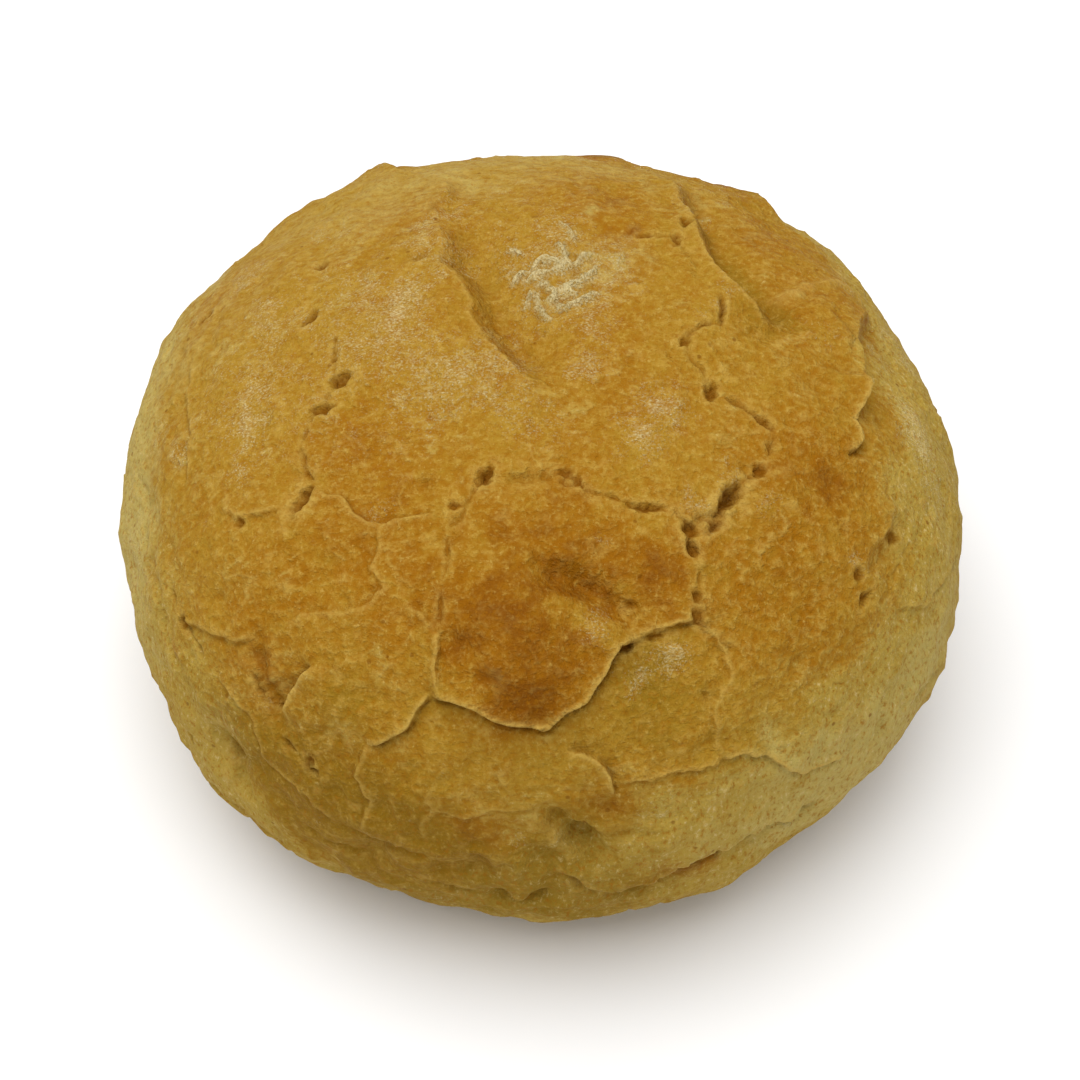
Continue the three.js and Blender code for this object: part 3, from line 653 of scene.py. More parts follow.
class Line:
    """One line of the crust, laid on the dome: its points there, and its measures along the way."""

    def __init__(self, dome, style, strength, places, seed):
        """The spline through the places wanders sideways by noise of the style's ragged size."""
        self.style, self.strength, self.seed = STYLES[style], strength, seed
        flat = drawn(places, self.style.curved)
        along = np.gradient(flat, axis=0)
        along /= np.linalg.norm(along, axis=1, keepdims=True)
        sideways = np.stack((-along[:, 1], along[:, 0]), 1)
        spots = np.column_stack((flat, np.full(len(flat), float(seed))))
        wander = grain(spots, 1.9, seed) + 0.6 * grain(spots, 0.9, seed + 5) + 0.3 * grain(spots, 0.45, seed)
        flat = flat + sideways * (self.style.ragged * wander)[:, None]
        length, bearing = skin(flat[:, 0], flat[:, 1])
        self.points = dome.point(length, bearing)
        self.normals = dome.normal(length, bearing)
        steps = np.linalg.norm(np.diff(self.points, axis=0), axis=1)
        self.run = np.concatenate(([0], np.cumsum(steps)))

    def near(self, points, reach):
        """Which points lie within reach, how far they are from the line (left positive), the run to the
        nearest place on it, and the unit vectors from that place: the nearest of all the line's
        straight pieces, each found by the foot of the perpendicular, clipped to the piece."""
        low, high = self.points.min(0) - reach, self.points.max(0) + reach
        chosen = np.nonzero(((points > low) & (points < high)).all(1))[0]
        spots = points[chosen]
        start, step = self.points[:-1], np.diff(self.points, axis=0)
        share = ((spots[:, None] - start) * step).sum(-1) / (step**2).sum(-1)
        share = np.clip(share, 0, 1)
        away = spots[:, None] - start - share[..., None] * step
        apart = np.linalg.norm(away, axis=2)
        piece = apart.argmin(1)
        row = np.arange(len(spots))
        apart, away, share = apart[row, piece], away[row, piece], share[row, piece]
        left = np.cross(self.normals[piece], step[piece])
        left /= np.linalg.norm(left, axis=1, keepdims=True)
        side = np.where((away * left).sum(1) >= 0, 1.0, -1.0)
        run = self.run[piece] + share * (self.run[piece + 1] - self.run[piece])
        close = apart < reach
        away = side[:, None] * away / np.maximum(apart, 1e-9)[:, None]
        away = np.where(apart[:, None] < 0.1, left, away)
        return chosen[close], (side * apart)[close], run[close], away[close]

    def taper(self, run, ease=None):
        """1 along the line and down to 0 at its two ends, with the square root of a smooth step."""
        ease = min(ease or self.style.ease, self.run[-1] / 2)
        return np.sqrt(smooth(0, ease, np.minimum(run, self.run[-1] - run)) + 1e-9)

    def beads(self, run):
        """How wide and deep the line is along its way: 1 plus noise, never below a sixth."""
        spots = np.column_stack((run, np.full(len(run), 3.0 + self.seed), 0 * run))
        return np.clip(1 + 1.6 * self.style.beads * layered(spots, 2.2, self.seed + 9, 2), 0.16, 2.6)


CROWDING_REACH = 2.4  # points are drawn towards a line from this far
CROWDING = 0.68  # share by which their spacing shrinks at the line
CROWDING_EASE = 3.0  # the crowding dies out over this length at a line's ends
SNAP = (0.02, 0.12)  # points nearer than the first are laid on the line, beyond the second they are free


def crowd_towards(points, lines):
    """Draws points towards the lines, so that the grid is finest across them: a point at distance x
    from its nearest line goes to y = x (1 - k (1 - x/D)^2), with k the crowding and D its reach, and on
    to y smooth(SNAP, y), which lays a row of points on the line itself."""
    nearest = np.full(len(points), CROWDING_REACH)
    shift = np.zeros_like(points)
    for line in lines:
        chosen, apart, run, left = line.near(points, CROWDING_REACH)
        x = np.abs(apart)
        pull = CROWDING * line.taper(run, CROWDING_EASE) * (1 - x / CROWDING_REACH) ** 2
        pull = 1 - (1 - pull) * smooth(*SNAP, x * (1 - pull))
        better = x < nearest[chosen]
        index = chosen[better]
        nearest[index] = x[better]
        shift[index] = -(left * (apart * pull)[:, None])[better]
    return points + shift


class Crust:
    """The crust's points, with the heights and colours that its features add to them."""

    MASKS = ("crevice_shade", "torn", "browning_and_shade", "flour", "flank", "dusted", "straw", "dull_and_shade")

    def __init__(self, dome):
        length, bearing, self.faces = ringed_grid(dome)
        self.dome, self.length, self.bearing = dome, length, bearing
        self.lines = [Line(dome, *spec, seed=100 + 3 * i) for i, spec in enumerate(LINES)]
        brims = [Line(dome, "brim", 1.0, brim(*pit[:5]), seed=1) for pit in PITS]
        self.points = crowd_towards(dome.point(length, bearing), self.lines + brims)
        self.normals = dome.normal(length, bearing)
        self.height = np.zeros(len(length))
        self.slide = np.zeros_like(self.points)
        self.mask = {name: np.zeros(len(length)) for name in self.MASKS}
        self.open = smooth(0, FOOT_FADE, dome.foot_length - length)

    def deepen(self, name, index, value):
        """Adds a mask's value over what is there: 1 - (1 - old) (1 - new)."""
        old = self.mask[name][index]
        self.mask[name][index] = 1 - (1 - old) * (1 - np.clip(value, 0, 1))

    def cut_line(self, line):
        """Adds one line. With d the distance across it and w its frayed width, the groove is
        exp(-((d - low)/w)^2) or, for a trench, 1 - smooth(TRENCH_WALL, |d|/w). The height gains -depth
        groove, -shoulder exp(-|d|/reach) and rim exp(-(|d|/w - GROOVE_RIM)^2). A step adds step on the
        left and -drop step on the right, both dying out with exp(-|d|/reach). Its wall runs from `low`,
        right of the line, up to the line; its rim stands on the edge, the edge slides `over` to the
        right, and its groove and painted shade lie at the wall's foot. The dark colour in the groove and
        under the hang is painted shade, and so is the brown laid beside the line."""
        style = line.style
        index, d, run, left = line.near(self.points, max(4 * style.reach, 2.5 * style.width))
        power = line.strength * line.taper(run)
        bead = line.beads(run)
        frayed = 1 + style.frayed * layered(self.points[index], 0.9, line.seed, 2)
        width = style.width * bead**0.7 * (0.6 + 0.4 * line.strength) * np.clip(frayed, 0.4, 2)
        x = np.abs(d)
        low = -(2 * style.wall + 0.5 * style.over) if style.step else 0.0
        groove = bell(d, low, width)
        if style.flat:
            trench = 1 - smooth(*TRENCH_WALL, x / width)
            groove += style.flat * (trench - groove)
        rise = -style.depth * bead * power * groove
        rise -= style.shoulder * power * np.exp(-x / style.reach)
        if style.step:
            raised = smooth(low, 0, d)
            rise += style.step * power * np.exp(-x / style.reach) * ((1 + style.drop) * raised - style.drop)
            rise += style.rim * power * bell(d, *STEP_RIM)
            slid = style.over * power * smooth(low - 0.15, 0.12, d)
            slid *= bell(np.maximum(d, 0), 0, STEP_SLIDE)
            self.slide[index] -= left * slid[:, None]
            shade = smooth(low - 1.3 * style.width, low, d) * (1 - smooth(0.4 * low, -0.08, d))
            lip = bell(d, *STEP_LIP) * smooth(-0.25, -0.08, d)
        else:
            rise += style.rim * power * bell(x, GROOVE_RIM * width, width)
            shade = groove if style.flat else bell(d, 0, 0.9 * width)
            lip = bell(x, GROOVE_LIP * width, width) if style.depth > 0 else groove * bead
        self.height[index] += rise
        # Painted shade: the dark colour of cracks fills the groove and, for a step, the strip under its
        # hang.
        self.deepen("crevice_shade", index, style.dark * power * smooth(0.1, 1.3, bead) * shade)
        self.deepen("torn", index, style.pale * power * lip)
        self.deepen("dusted", index, style.flour * power * bell(d, 0, 1.3 * width))
        # Painted shade: brown laid beside the line, for a step only on its lower side.
        side = smooth(0.6, -0.6, d) if style.step else 1.0
        reach = 1.6 * style.width + 0.4 * style.reach * (style.step > 0)
        self.mask["browning_and_shade"][index] += style.brown * power * side * bell(d, 0, reach)

    def cut_pit(self, east, north, half_length, half_width, heading, depth, seed):
        """Adds one pit. With x and y the shares of its half length and width, p its power and s =
        (x^p + y^p)^(1/p) over a ragged 1, the height gains -fill depth (1 - smooth(PIT_WALL, s)) and a
        low torn rim."""
        centre = self.dome.place(east, north)
        turn = math.radians(heading)
        along = self.dome.place(east + 0.2 * math.cos(turn), north + 0.2 * math.sin(turn)) - centre
        along /= np.linalg.norm(along)
        across = np.cross(self.dome.normal(*skin(east, north)), along)
        away = self.points - centre
        index = np.nonzero((away**2).sum(1) < (3 * half_length + 1) ** 2)[0]
        away = away[index]
        outward = np.cross(along, across)
        x, y = np.abs(away @ along) / half_length, np.abs(away @ across) / half_width
        spread = (x**PIT_POWER + y**PIT_POWER) ** (1 / PIT_POWER) / 1.1
        spread = np.hypot(spread, (away @ outward) / (2 * half_length))
        spots = self.points[index]
        ragged = 1 + 0.55 * grain(spots, 1.3 * half_width + 0.3, seed) + 0.3 * grain(spots, 0.6, seed + 1)
        s = spread / np.clip(ragged, 0.4, 2)
        bowl = 1 - smooth(*PIT_WALL, s)
        self.height[index] -= PIT_FILL * depth * bowl * (1 + 0.5 * grain(spots, 0.7, seed + 2))
        self.height[index] += 0.10 * bell(s, 1.4, 0.4)
        # Painted shade in the pit's bowl.
        self.deepen("crevice_shade", index, 0.92 * bowl)
        self.deepen("torn", index, 0.5 * bell(s, 1.35, 0.3))

    def press_dent(self, east, north, reach, depth):
        """Adds one dent or swelling: -depth exp(-(distance / reach)^2), with an uneven reach."""
        centre = self.dome.place(east, north)
        index = np.nonzero(((self.points - centre) ** 2).sum(1) < (3 * reach) ** 2)[0]
        spots = self.points[index]
        uneven = 1 + 0.5 * grain(spots, 1.4 * reach, int(10 * reach) + 81)
        hollow = bell(np.linalg.norm(spots - centre, axis=1), 0, reach * uneven)
        self.height[index] -= depth * hollow
        # Painted shade: a dent is made browner where it hollows.
        if depth > 0:
            self.mask["browning_and_shade"][index] += DENT_SHADE * hollow

    def add_relief(self):
        """Adds the skin's own unevenness: the sum of the relief's noises, half as high again on the
        lower side, with pressed dimples and a few raised blisters where noise passes a threshold."""
        spots = self.points
        lower = 1 + 0.5 * smooth(48, 66, self.length)
        for i, (size, height, rougher) in enumerate(RELIEF):
            self.height += self.open * height * (lower if rougher else 1) * grain(spots, size, 1 + i)
        dimples = smooth(0.32, 0.75, grain(spots, 3.4, 5))
        blisters = smooth(0.38, 0.75, grain(spots, 2.4, 6))
        self.height += self.open * (BLISTER_HEIGHT * blisters - DIMPLE_DEPTH * lower * dimples)

    def patches(self, spots, table):
        """The sum of strength exp(-(distance / reach)^2) over a table of places."""
        total = np.zeros(len(spots))
        for east, north, reach, strength in table:
            total += strength * bell(np.linalg.norm(spots - self.dome.place(east, north), axis=1), 0, reach)
        return total

    def dust(self):
        """Flour lies in patches, on points stirred by noise, and a little anywhere."""
        flour = self.patches(stirred(self.points, 1.4, 3.0, 21), FLOUR)
        stray = smooth(0.45, 0.9, layered(self.points, 9, 31)) * 0.35
        self.mask["flour"] = np.clip(flour + stray * self.open, 0, 1)

    def bake(self):
        """Baking colour is patches plus noise, some of it painted shade, and more round the underside,
        which paints the shade near the table. The flank is the paler side wall, whose start varies
        with the bearing. The tone is patches plus noise too: above 0 it makes the crust
        straw-coloured, below 0 darker olive-brown, mostly painted shade."""
        spots = stirred(self.points, 2.2, 6.0, 41)
        # Painted shade is part of this brown: lines, dents, the patches low on the front and, below, the
        # foot add it.
        brown = self.mask["browning_and_shade"] + 0.35 * layered(self.points, 15, 51) + self.patches(spots, BROWNING_AND_SHADE)
        starts = np.interp(np.degrees(self.bearing) % 360, *zip(*FLANK_STARTS))
        wander = 4 * grain(self.points, 14, 61) + 4 * grain(self.points, 6, 62)
        self.mask["flank"] = smooth(*FLANK_EASE, self.length - starts + wander)
        # Below 0 the tone is painted shade, with a little random darkening from the flank's noise.
        tone = 0.25 * self.mask["flank"] * layered(self.points, 11, 71) + self.patches(spots, TONES)
        self.mask["straw"], self.mask["dull_and_shade"] = np.clip(tone, 0, 1), np.clip(-tone, 0, 1)
        foot = self.dome.foot_length
        # Painted shade near the table: extra brown up to 13 mm above the foot's edge and under it.
        self.mask["browning_and_shade"] = brown + FOOT_SHADE * smooth(13, 2, foot - self.length)

    def finished_points(self):
        """Each point moved along its outward direction by its height and across by its slide."""
        return self.points + self.normals * self.height[:, None] + self.slide


def brim(east, north, half_length, half_width, heading):
    """The places round a pit's edge: an ellipse."""
    turn = np.linspace(0, 2 * math.pi, 11)
    a, b, heading = half_length * np.cos(turn), half_width * np.sin(turn), math.radians(heading)
    easts = east + a * math.cos(heading) - b * math.sin(heading)
    norths = north + a * math.sin(heading) + b * math.cos(heading)
    return np.stack((easts, norths), 1)


def shaped_crust(shape):
    """The whole crust: dome, lines, pits, relief and colour masks."""
    crust = Crust(Dome(shape))
    for line in crust.lines:
        crust.cut_line(line)
    for i, pit in enumerate(PITS):
        crust.cut_pit(*pit, seed=700 + 3 * i)
    for dent in DENTS:
        crust.press_dent(*dent)
    crust.add_relief()
    crust.dust()
    crust.bake()
    return crust


# ---------------------------------------------------------------------------------------------
# Shader maths
# ---------------------------------------------------------------------------------------------


class Value:
    """A shader socket; + - * on one that holds a number add Math nodes."""

    def __init__(self, sheet, socket):
        self.sheet, self.socket = sheet, socket

    def _maths(self, operation, first, second):
        node = self.sheet.node("ShaderNodeMath", {"operation": operation}, {0: first, 1: second})
        return node["Value"]

    def __add__(self, other):
        return self._maths("ADD", self, other)

    __radd__ = __add__

    def __sub__(self, other):
        return self._maths("SUBTRACT", self, other)

    def __rsub__(self, other):
        return self._maths("SUBTRACT", other, self)

    def __mul__(self, other):
        return self._maths("MULTIPLY", self, other)

    __rmul__ = __mul__


class Made:
    """A node just made, whose outputs are read by name."""

    def __init__(self, sheet, node):
        self.sheet, self.node = sheet, node

    def __getitem__(self, name):
        return Value(self.sheet, self.node.outputs[name])


class Sheet:
    """The node sheet of one material."""

    def __init__(self, name):
        self.material = bpy.data.materials.new(name)
        self.material.use_nodes = True
        self.tree = self.material.node_tree
        self.tree.nodes.clear()

    def node(self, kind, settings=None, sockets=None):
        """Makes a node, sets its settings, then its sockets' values or links."""
        node = self.tree.nodes.new(kind)
        for name, value in (settings or {}).items():
            setattr(node, name, value)
        for name, value in (sockets or {}).items():
            if isinstance(value, Value):
                self.tree.links.new(value.socket, node.inputs[name])
            else:
                node.inputs[name].default_value = value
        return Made(self, node)

    def step(self, value, low, high, to_low=0.0, to_high=1.0):
        """The value eased from to_low at low to to_high at high."""
        return self.node(
            "ShaderNodeMapRange",
            {"interpolation_type": "SMOOTHSTEP"},
            {"Value": value, "From Min": low, "From Max": high, "To Min": to_low, "To Max": to_high},
        )["Result"]

    def noise(self, place, size_mm, detail=2.0, rough=0.5, output="Fac"):
        """Noise whose blobs are about size_mm across."""
        return self.node(
            "ShaderNodeTexNoise",
            None,
            {"Vector": place, "Scale": 1 / (size_mm * MM), "Detail": detail, "Roughness": rough},
        )[output]

    def stretched(self, place, turn, scale):
        """The place turned and scaled, for streaked patterns."""
        return self.node(
            "ShaderNodeMapping",
            None,
            {"Vector": place, "Rotation": [math.radians(a) for a in turn], "Scale": scale},
        )["Vector"]

    def cells(self, place, size_mm, feature="F1"):
        """Scattered points about size_mm apart: how far the nearest is, or the border to the next."""
        return self.node(
            "ShaderNodeTexVoronoi",
            {"feature": feature},
            {"Vector": place, "Scale": 1 / (size_mm * MM)},
        )

    def blend(self, mask, below, above):
        """Colour `below` where the mask is 0 and `above` where it is 1."""
        node = self.tree.nodes.new("ShaderNodeMix")
        node.data_type = "RGBA"
        for socket, value in zip((node.inputs[0], node.inputs[6], node.inputs[7]), (mask, below, above)):
            if isinstance(value, Value):
                self.tree.links.new(value.socket, socket)
            else:
                socket.default_value = value
        return Value(self, node.outputs[2])

    def attribute(self, name):
        """A mask that the mesh carries."""
        return self.node("ShaderNodeAttribute", {"attribute_name": name})["Fac"]


def clear(colour):
    """An RGB colour as RGBA."""
    return (*colour, 1.0)


def crust_material(finish):
    """Baked crust. Golden to amber to russet by baking, partly painted shade, then the paler flank,
    straw places and darker olive places of painted shade, pale spots, grit and pale specks with painted
    highlights and glints on raised tops, painted shade in the hollows of pebble and grit, faint veins,
    brown dots, torn lips, cracks and pits darkened with painted shade, and granular flour."""
    sheet = Sheet("baked_crust")
    place = sheet.node("ShaderNodeTexCoord")["Object"]
    # This mask holds real baking colour and painted shade.
    browning_and_shade = sheet.attribute("browning_and_shade")
    flank = sheet.attribute("flank")
    crevice_shade = sheet.attribute("crevice_shade")
    torn = sheet.attribute("torn")
    flour = sheet.attribute("flour")

    cloud = sheet.noise(place, 8, 4, 0.6)
    mottle = sheet.noise(place, 2.3, 4, 0.6)
    pebble = sheet.noise(place, 1.0, 3, 0.55)
    fine = sheet.noise(place, 0.42, 3, 0.65)
    streak = sheet.noise(sheet.stretched(place, (0, 0, 35), (0.35, 1, 1)), 0.8, 3, 0.6)

    # Painted shade: the pebble term turns the bump's hollows amber and leaves its raised tops golden; the
    # brown mask brings its own painted shade.
    toasted_and_shade = sheet.step(
        browning_and_shade * 0.9 + (cloud - 0.5) * 1.8 + (mottle - 0.5) * 1.5 + (pebble - 0.5) * -1.8, -0.75, 0.95
    )
    colour = sheet.blend(toasted_and_shade, clear(finish.golden), clear(finish.amber))
    # Russet follows the same mask, so its painted shade darkens here as well.
    scorched = sheet.step(browning_and_shade + (mottle - 0.5) * 1.4 + (cloud - 0.5) * 0.6, 0.30, 1.20)
    colour = sheet.blend(scorched, colour, clear(finish.russet))
    patchy = (mottle - 0.5) * 1.6 + (streak - 0.5) * 1.2 + (cloud - 0.5) * 2.2
    pale = sheet.step(flank * 1.1 - sheet.step(browning_and_shade, 0.0, 1.2) * 0.9 + patchy, 0.0, 1.0)
    colour = sheet.blend(pale * 0.85, colour, clear(finish.flank))

    straw = sheet.step(sheet.attribute("straw") + patchy * 0.35, 0.05, 0.75) * 0.8
    colour = sheet.blend(straw, colour, clear(finish.straw))
    # Painted shade: this darker olive-brown darkens the lower front, dents and valley walls.
    dull_and_shade = sheet.step(sheet.attribute("dull_and_shade") + patchy * -0.35, 0.05, 0.85) * 0.75
    colour = sheet.blend(dull_and_shade, colour, clear(finish.dull_and_shade))

    dark_flecks = sheet.step(sheet.noise(place, 1.3, 3, 0.65), 0.55, 0.80) * (0.45 - pale * 0.2)
    colour = sheet.blend(dark_flecks, colour, clear(finish.russet))
    pale_spots = sheet.step(sheet.noise(place, 2.1, 2, 0.5), 0.58, 0.76) * (0.5 - scorched * 0.35)
    colour = sheet.blend(pale_spots, colour, clear(finish.fleck_and_highlight))
    softened = sheet.step(scorched, 0.0, 1.0, 1.0, 0.35) * (1.0 - dull_and_shade * 0.45)
    # Painted highlight: these pale specks sit on the tops that the pebble, fine and streak noises raise in
    # the bump.
    speckle_and_highlight = sheet.step(fine * 0.5 + pebble * 0.35 + streak * 0.25, 0.50, 0.78) * 0.75 * softened
    colour = sheet.blend(speckle_and_highlight, colour, clear(finish.fleck_and_highlight))
    grit = sheet.noise(sheet.stretched(place, (0, 0, 0), (1, 1, 0.6)), 0.6, 3, 0.7)
    # Painted shade: amber in the hollows of the grit, which the bump sinks.
    colour = sheet.blend(sheet.step(grit, 0.50, 0.30) * (0.55 + pale * 0.2), colour, clear(finish.amber))
    # Painted glints on the raised tops of the grit, in the torn-lip colour, and paler still on the flank.
    painted_glints = sheet.step(grit, 0.55, 0.78) * (0.75 + pale * 0.25) * softened
    colour = sheet.blend(painted_glints, colour, clear(finish.torn))
    colour = sheet.blend(painted_glints * pale * 0.6, colour, clear(finish.flour))

    warped = sheet.node(
        "ShaderNodeVectorMath",
        {"operation": "MULTIPLY_ADD"},
        {0: sheet.noise(place, 3.0, 2, 0.5, output="Color"), 1: (3 * MM, 3 * MM, 3 * MM), 2: place},
    )["Vector"]
    edge = sheet.cells(warped, 7.5, "DISTANCE_TO_EDGE")["Distance"]
    vein = sheet.step(edge, 0.05, 0.0) * sheet.step(cloud + (mottle - 0.5) * 0.8, 0.50, 0.66)
    colour = sheet.blend(vein * (0.28 - scorched * 0.28), colour, clear(finish.torn))

    dots = sheet.cells(place, 3.6)
    near_dot = sheet.step(dots["Distance"], 0.10, 0.05)
    chosen = sheet.step(dots["Color"], 0.52, 0.56)
    # The brown dots are the crust's own specks, in the dark brown of the painted shade.
    colour = sheet.blend(near_dot * chosen * 0.6, colour, clear(finish.crevice_shade))

    colour = sheet.blend(torn * sheet.step(fine, 0.25, 0.6, 0.35, 0.9), colour, clear(finish.torn))
    # Painted shade: cracks, pits and the strips under hanging lips take the dark colour.
    colour = sheet.blend(crevice_shade * sheet.step(fine, 0.3, 0.8, 1.0, 0.7), colour, clear(finish.crevice_shade))

    rice = sheet.cells(sheet.stretched(place, (0, 0, -25), (0.6, 1.1, 1)), 0.27)
    powder = sheet.noise(place, 0.28, 2, 0.7)
    thick = sheet.attribute("dusted")
    cover = flour * 1.1 + (mottle - 0.5) * 1.8
    dusting = sheet.step(cover + (powder - 0.5) * 3.5, 0.25, 1.30)
    dusting = dusting * sheet.step(rice["Distance"], 0.75, 0.10, 0.25, 1.0) * sheet.step(flour, 0.0, 0.3)
    dusting = dusting * 0.8 + thick * sheet.step(powder + thick * 0.22, 0.42, 0.78) * 0.9
    dusting = dusting * sheet.step(crevice_shade, 0.1, 0.5, 1.0, 0.15)
    colour = sheet.blend(dusting, colour, clear(finish.flour))

    height = (mottle * 0.5 + pebble * 0.75 + fine * 0.45 + streak * 0.40 + grit * 0.35 + dusting * 0.25
              + vein * 0.10)
    bump = sheet.node(
        "ShaderNodeBump", None, {"Strength": finish.grain, "Distance": 0.45 * MM, "Height": height}
    )["Normal"]
    roughness = sheet.step(toasted_and_shade + dusting * -0.8, 0.0, 1.0, 0.80, 0.62)
    shader = sheet.node(
        "ShaderNodeBsdfPrincipled",
        None,
        {"Base Color": colour, "Roughness": roughness, "Normal": bump,
         "Specular IOR Level": finish.gloss},
    )["BSDF"]
    sheet.node("ShaderNodeOutputMaterial", None, {"Surface": shader})
    return sheet.material


def table_material(stage):
    """Plain pale table top."""
    sheet = Sheet("pale_table")
    shader = sheet.node(
        "ShaderNodeBsdfPrincipled",
        None,
        {"Base Color": clear(stage.table_colour), "Roughness": 0.9, "Specular IOR Level": 0.0},
    )["BSDF"]
    sheet.node("ShaderNodeOutputMaterial", None, {"Surface": shader})
    return sheet.material


# ---------------------------------------------------------------------------------------------
# What a user may change
# ---------------------------------------------------------------------------------------------


def length_property(name, description, default, **limits):
    """A length in metres."""
    return FloatProperty(
        name=name, description=description, default=default, unit="LENGTH", precision=4, **limits
    )


def colour_property(name, description, default):
    """A linear colour."""
    return FloatVectorProperty(
        name=name, description=description, default=default, subtype="COLOR", size=3, min=0, max=1
    )


class RollShape(bpy.types.PropertyGroup):
    """Sizes of the plain dome under the crust's features."""

    width: length_property("Width", "Across the widest level of the plain dome", 0.108, min=0.05)
    height: length_property("Height", "From the table to the crown", 0.062, min=0.02)
    widest_level: length_property("Widest level", "Height where the sides stand out furthest", 0.0256)
    foot_share: FloatProperty(
        name="Foot", description="Radius of the flat underside over the widest radius",
        default=0.62, min=0.2, max=0.9, subtype="FACTOR",
    )
    shoulder_power: FloatProperty(
        name="Shoulder", description="2 is a round shoulder, more is a squarer one",
        default=2.42, min=1.6, max=4,
    )
    tuck_power: FloatProperty(
        name="Tuck", description="The same, for the side below the widest level",
        default=2.13, min=1.6, max=4,
    )


class CrustFinish(bpy.types.PropertyGroup):
    """Colours and surface of the baked crust."""

    golden: colour_property("Golden", "Lightest baked crust", (0.325, 0.182, 0.017))
    amber: colour_property("Amber", "Well baked crust", (0.270, 0.104, 0.002))
    russet: colour_property("Russet", "Darkest baked spots", (0.172, 0.054, 0.001))
    flank: colour_property("Flank", "Side wall, baked least", (0.375, 0.262, 0.045))
    straw: colour_property("Straw", "Palest, driest crust", (0.430, 0.335, 0.095))
    # Painted shade: the colour that stands for the shade of the lower front, dents and valley walls.
    dull_and_shade: colour_property("Dull", "Crust of the lower front", (0.200, 0.112, 0.006))
    # This pale colour also paints the highlights on the bump's raised tops.
    fleck_and_highlight: colour_property("Fleck", "Pale flecks in the crust", (0.430, 0.262, 0.048))
    torn: colour_property("Torn lip", "Thin torn edges of the cracks", (0.465, 0.300, 0.066))
    # Painted shade: the dark colour of cracks, pits and the strips under hanging lips; the brown dots use it
    # too.
    crevice_shade: colour_property("Crevice", "Inside of cracks and pits", (0.150, 0.050, 0.001))
    flour: colour_property("Flour", "Flour on the crust", (0.560, 0.455, 0.225))
    grain: FloatProperty(name="Grain", description="Strength of the fine relief", default=1.0, min=0)
    gloss: FloatProperty(name="Gloss", description="Specular level of the crust", default=0.04, min=0,
                         max=1, subtype="FACTOR")


class StageSetup(bpy.types.PropertyGroup):
    """Table, light and camera."""

    table_colour: colour_property("Table", "Colour of the table top", (0.87, 0.87, 0.87))
    table_size: length_property("Table size", "Side of the square table top", 6.0)
    key_power: FloatProperty(name="Key light", description="Power of the overhead light", default=7.15,
                             unit="POWER")
    key_size: length_property("Key size", "Side of the overhead light", 0.8)
    key_height: length_property("Key height", "Height of the overhead light", 0.8)
    key_setback: length_property("Key setback", "How far behind the roll the light hangs", -0.01)
    key_west: length_property("Key west", "How far to the left of the roll the light hangs", 0.09)
    sky: FloatProperty(name="Sky", description="Strength of the even light all round", default=0.60)
    elevation: FloatProperty(name="Elevation", description="Camera's angle above the table",
                             default=math.radians(52), subtype="ANGLE")
    distance: length_property("Distance", "Camera to the roll's middle", 0.278)
    aim_north: length_property("Aim north", "How far behind the middle the camera looks", -0.0004)
    aim_height: length_property("Aim height", "Height the camera looks at", 0.022)
    lens: FloatProperty(name="Lens", description="Focal length", default=70.0, unit="CAMERA")


# ---------------------------------------------------------------------------------------------
# Operators
# ---------------------------------------------------------------------------------------------


def linked(name, mesh):
    """A new object of the mesh, in the scene."""
    piece = bpy.data.objects.new(name, mesh)
    bpy.context.scene.collection.objects.link(piece)
    return piece


def mesh_of(name, points, faces):
    """A smooth-shaded mesh of triangles."""
    mesh = bpy.data.meshes.new(name)
    mesh.vertices.add(len(points))
    mesh.vertices.foreach_set("co", points.astype(np.float32).ravel())
    mesh.loops.add(faces.size)
    mesh.loops.foreach_set("vertex_index", faces.astype(np.int32).ravel())
    mesh.polygons.add(len(faces))
    mesh.polygons.foreach_set("loop_start", np.arange(0, faces.size, 3, dtype=np.int32))
    mesh.polygons.foreach_set("use_smooth", np.ones(len(faces), bool))
    mesh.update(calc_edges=True)
    if mesh.validate():
        raise RuntimeError(f"{name} has faces that are not valid")
    return mesh


class BREADROLL_OT_bake(bpy.types.Operator):
    """Make the roll's crust and give it its finish"""

    bl_idname = "bread_roll.bake"
    bl_label = "Bake Roll"

    def execute(self, context):
        crust = shaped_crust(context.scene.roll_shape)
        points = crust.finished_points()
        low, high = (np.array(corner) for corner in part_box("bread_roll"))
        middle = (points.max(0) + points.min(0)) / 2
        points[:, :2] += ((low + high) / 2 / MM - middle)[:2]
        points[:, 2] = np.maximum(points[:, 2], 0)
        mesh = mesh_of("baked_roll", points * MM, crust.faces)
        for name, values in crust.mask.items():
            layer = mesh.attributes.new(name, "FLOAT", "POINT")
            layer.data.foreach_set("value", values.astype(np.float32))
        mesh.materials.append(crust_material(context.scene.crust_finish))
        roll = linked("baked_roll", mesh)
        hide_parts("bread_roll")
        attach(roll, "root")
        return {"FINISHED"}


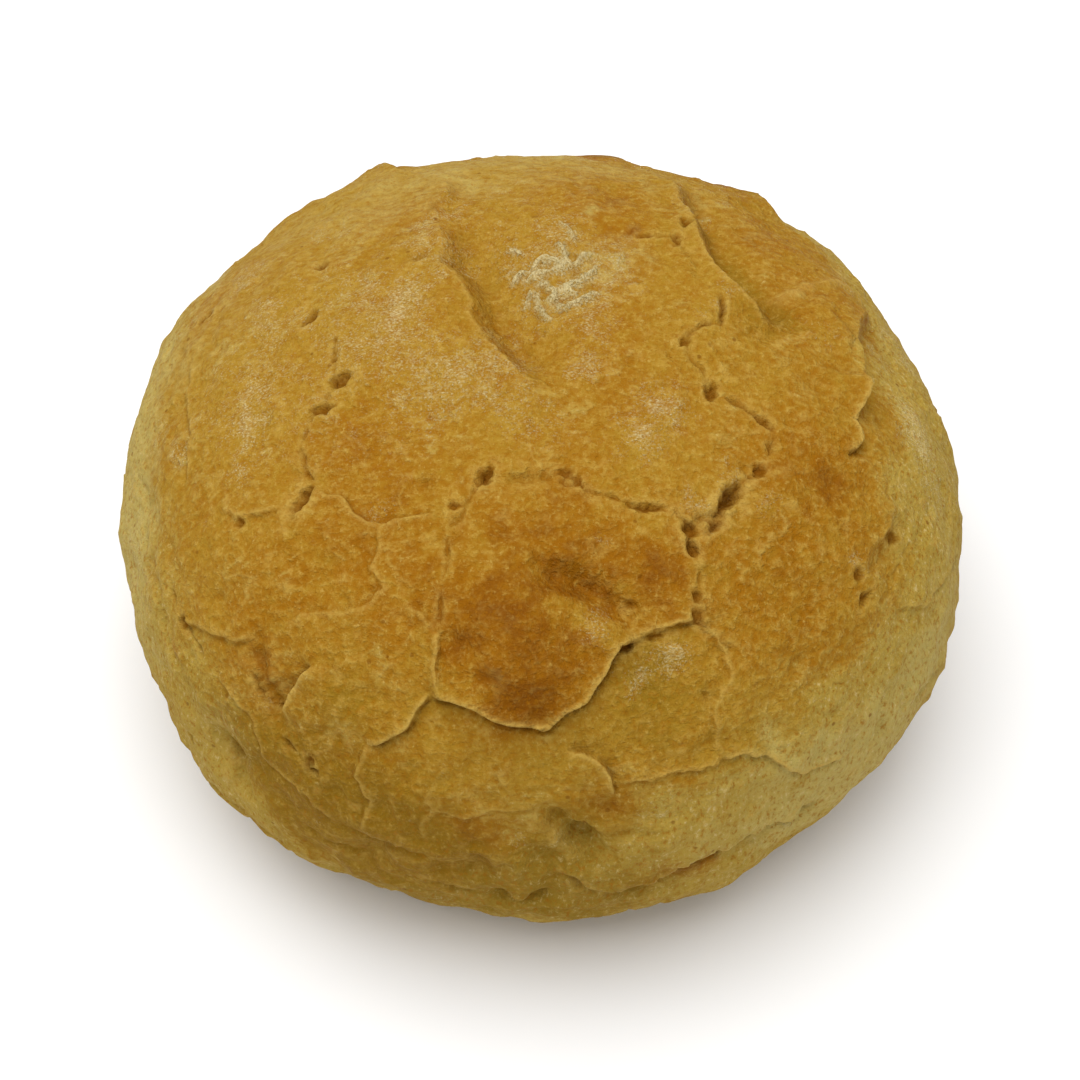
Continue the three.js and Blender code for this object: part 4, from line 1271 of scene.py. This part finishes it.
class BREADROLL_OT_stage(bpy.types.Operator):
    """Lay the table, hang the light and set the camera"""

    bl_idname = "bread_roll.stage"
    bl_label = "Set Stage"

    def execute(self, context):
        stage = context.scene.stage_setup
        self.lay_table(stage)
        self.hang_light(context, stage)
        self.set_camera(context, stage)
        return {"FINISHED"}

    def lay_table(self, stage):
        half = stage.table_size / 2
        corners = np.array([(-half, -half, 0), (half, -half, 0), (half, half, 0), (-half, half, 0)])
        mesh = mesh_of("table_top", corners, np.array([(0, 1, 2), (0, 2, 3)]))
        mesh.materials.append(table_material(stage))
        linked("table_top", mesh)

    def hang_light(self, context, stage):
        lamp = bpy.data.lights.new("overhead_light", "AREA")
        lamp.shape = "SQUARE"
        lamp.size = stage.key_size
        lamp.energy = stage.key_power
        place = Vector((-stage.key_west, stage.key_setback, stage.key_height))
        light = linked("overhead_light", lamp)
        light.location = place
        light.rotation_euler = (-place).to_track_quat("-Z", "Y").to_euler()
        world = bpy.data.worlds.new("studio")
        world.use_nodes = True
        world.node_tree.nodes["Background"].inputs["Color"].default_value = (1, 1, 1, 1)
        world.node_tree.nodes["Background"].inputs["Strength"].default_value = stage.sky
        context.scene.world = world
        context.scene.view_settings.view_transform = "Standard"

    def set_camera(self, context, stage):
        aim = Vector((0, stage.aim_north, stage.aim_height))
        back = Vector((0, -math.cos(stage.elevation), math.sin(stage.elevation)))
        lens = bpy.data.cameras.new("camera")
        lens.lens = stage.lens
        lens.sensor_width = SENSOR_WIDTH
        camera = linked("camera", lens)
        camera.location = aim + back * stage.distance
        camera.rotation_euler = (-back).to_track_quat("-Z", "Y").to_euler()
        context.scene.camera = camera


class BREADROLL_PT_panel(bpy.types.Panel):
    """Sizes, colours and the two steps"""

    bl_label = "Bread Roll"
    bl_idname = "BREADROLL_PT_panel"
    bl_space_type = "VIEW_3D"
    bl_region_type = "UI"
    bl_category = "Bread Roll"

    def draw(self, context):
        for name, operator in GROUPS_AND_STEPS:
            group = getattr(context.scene, name)
            box = self.layout.box()
            for key in group.bl_rna.properties.keys():
                if key not in ("rna_type", "name"):
                    box.prop(group, key)
            if operator:
                box.operator(operator.bl_idname)


GROUPS_AND_STEPS = (
    ("roll_shape", None),
    ("crust_finish", BREADROLL_OT_bake),
    ("stage_setup", BREADROLL_OT_stage),
)
GROUPS = {"roll_shape": RollShape, "crust_finish": CrustFinish, "stage_setup": StageSetup}
CLASSES = (RollShape, CrustFinish, StageSetup, BREADROLL_OT_bake, BREADROLL_OT_stage, BREADROLL_PT_panel)


def register():
    """Registers the classes and hangs their settings on the scene."""
    for cls in CLASSES:
        bpy.utils.register_class(cls)
    for name, group in GROUPS.items():
        setattr(bpy.types.Scene, name, PointerProperty(type=group))


def unregister():
    """Takes back what register did."""
    for name in GROUPS:
        delattr(bpy.types.Scene, name)
    for cls in reversed(CLASSES):
        bpy.utils.unregister_class(cls)


def main():
    """Makes the roll and its stage."""
    register()
    bpy.ops.bread_roll.bake()
    bpy.ops.bread_roll.stage()


if __name__ == "__main__":
    main()
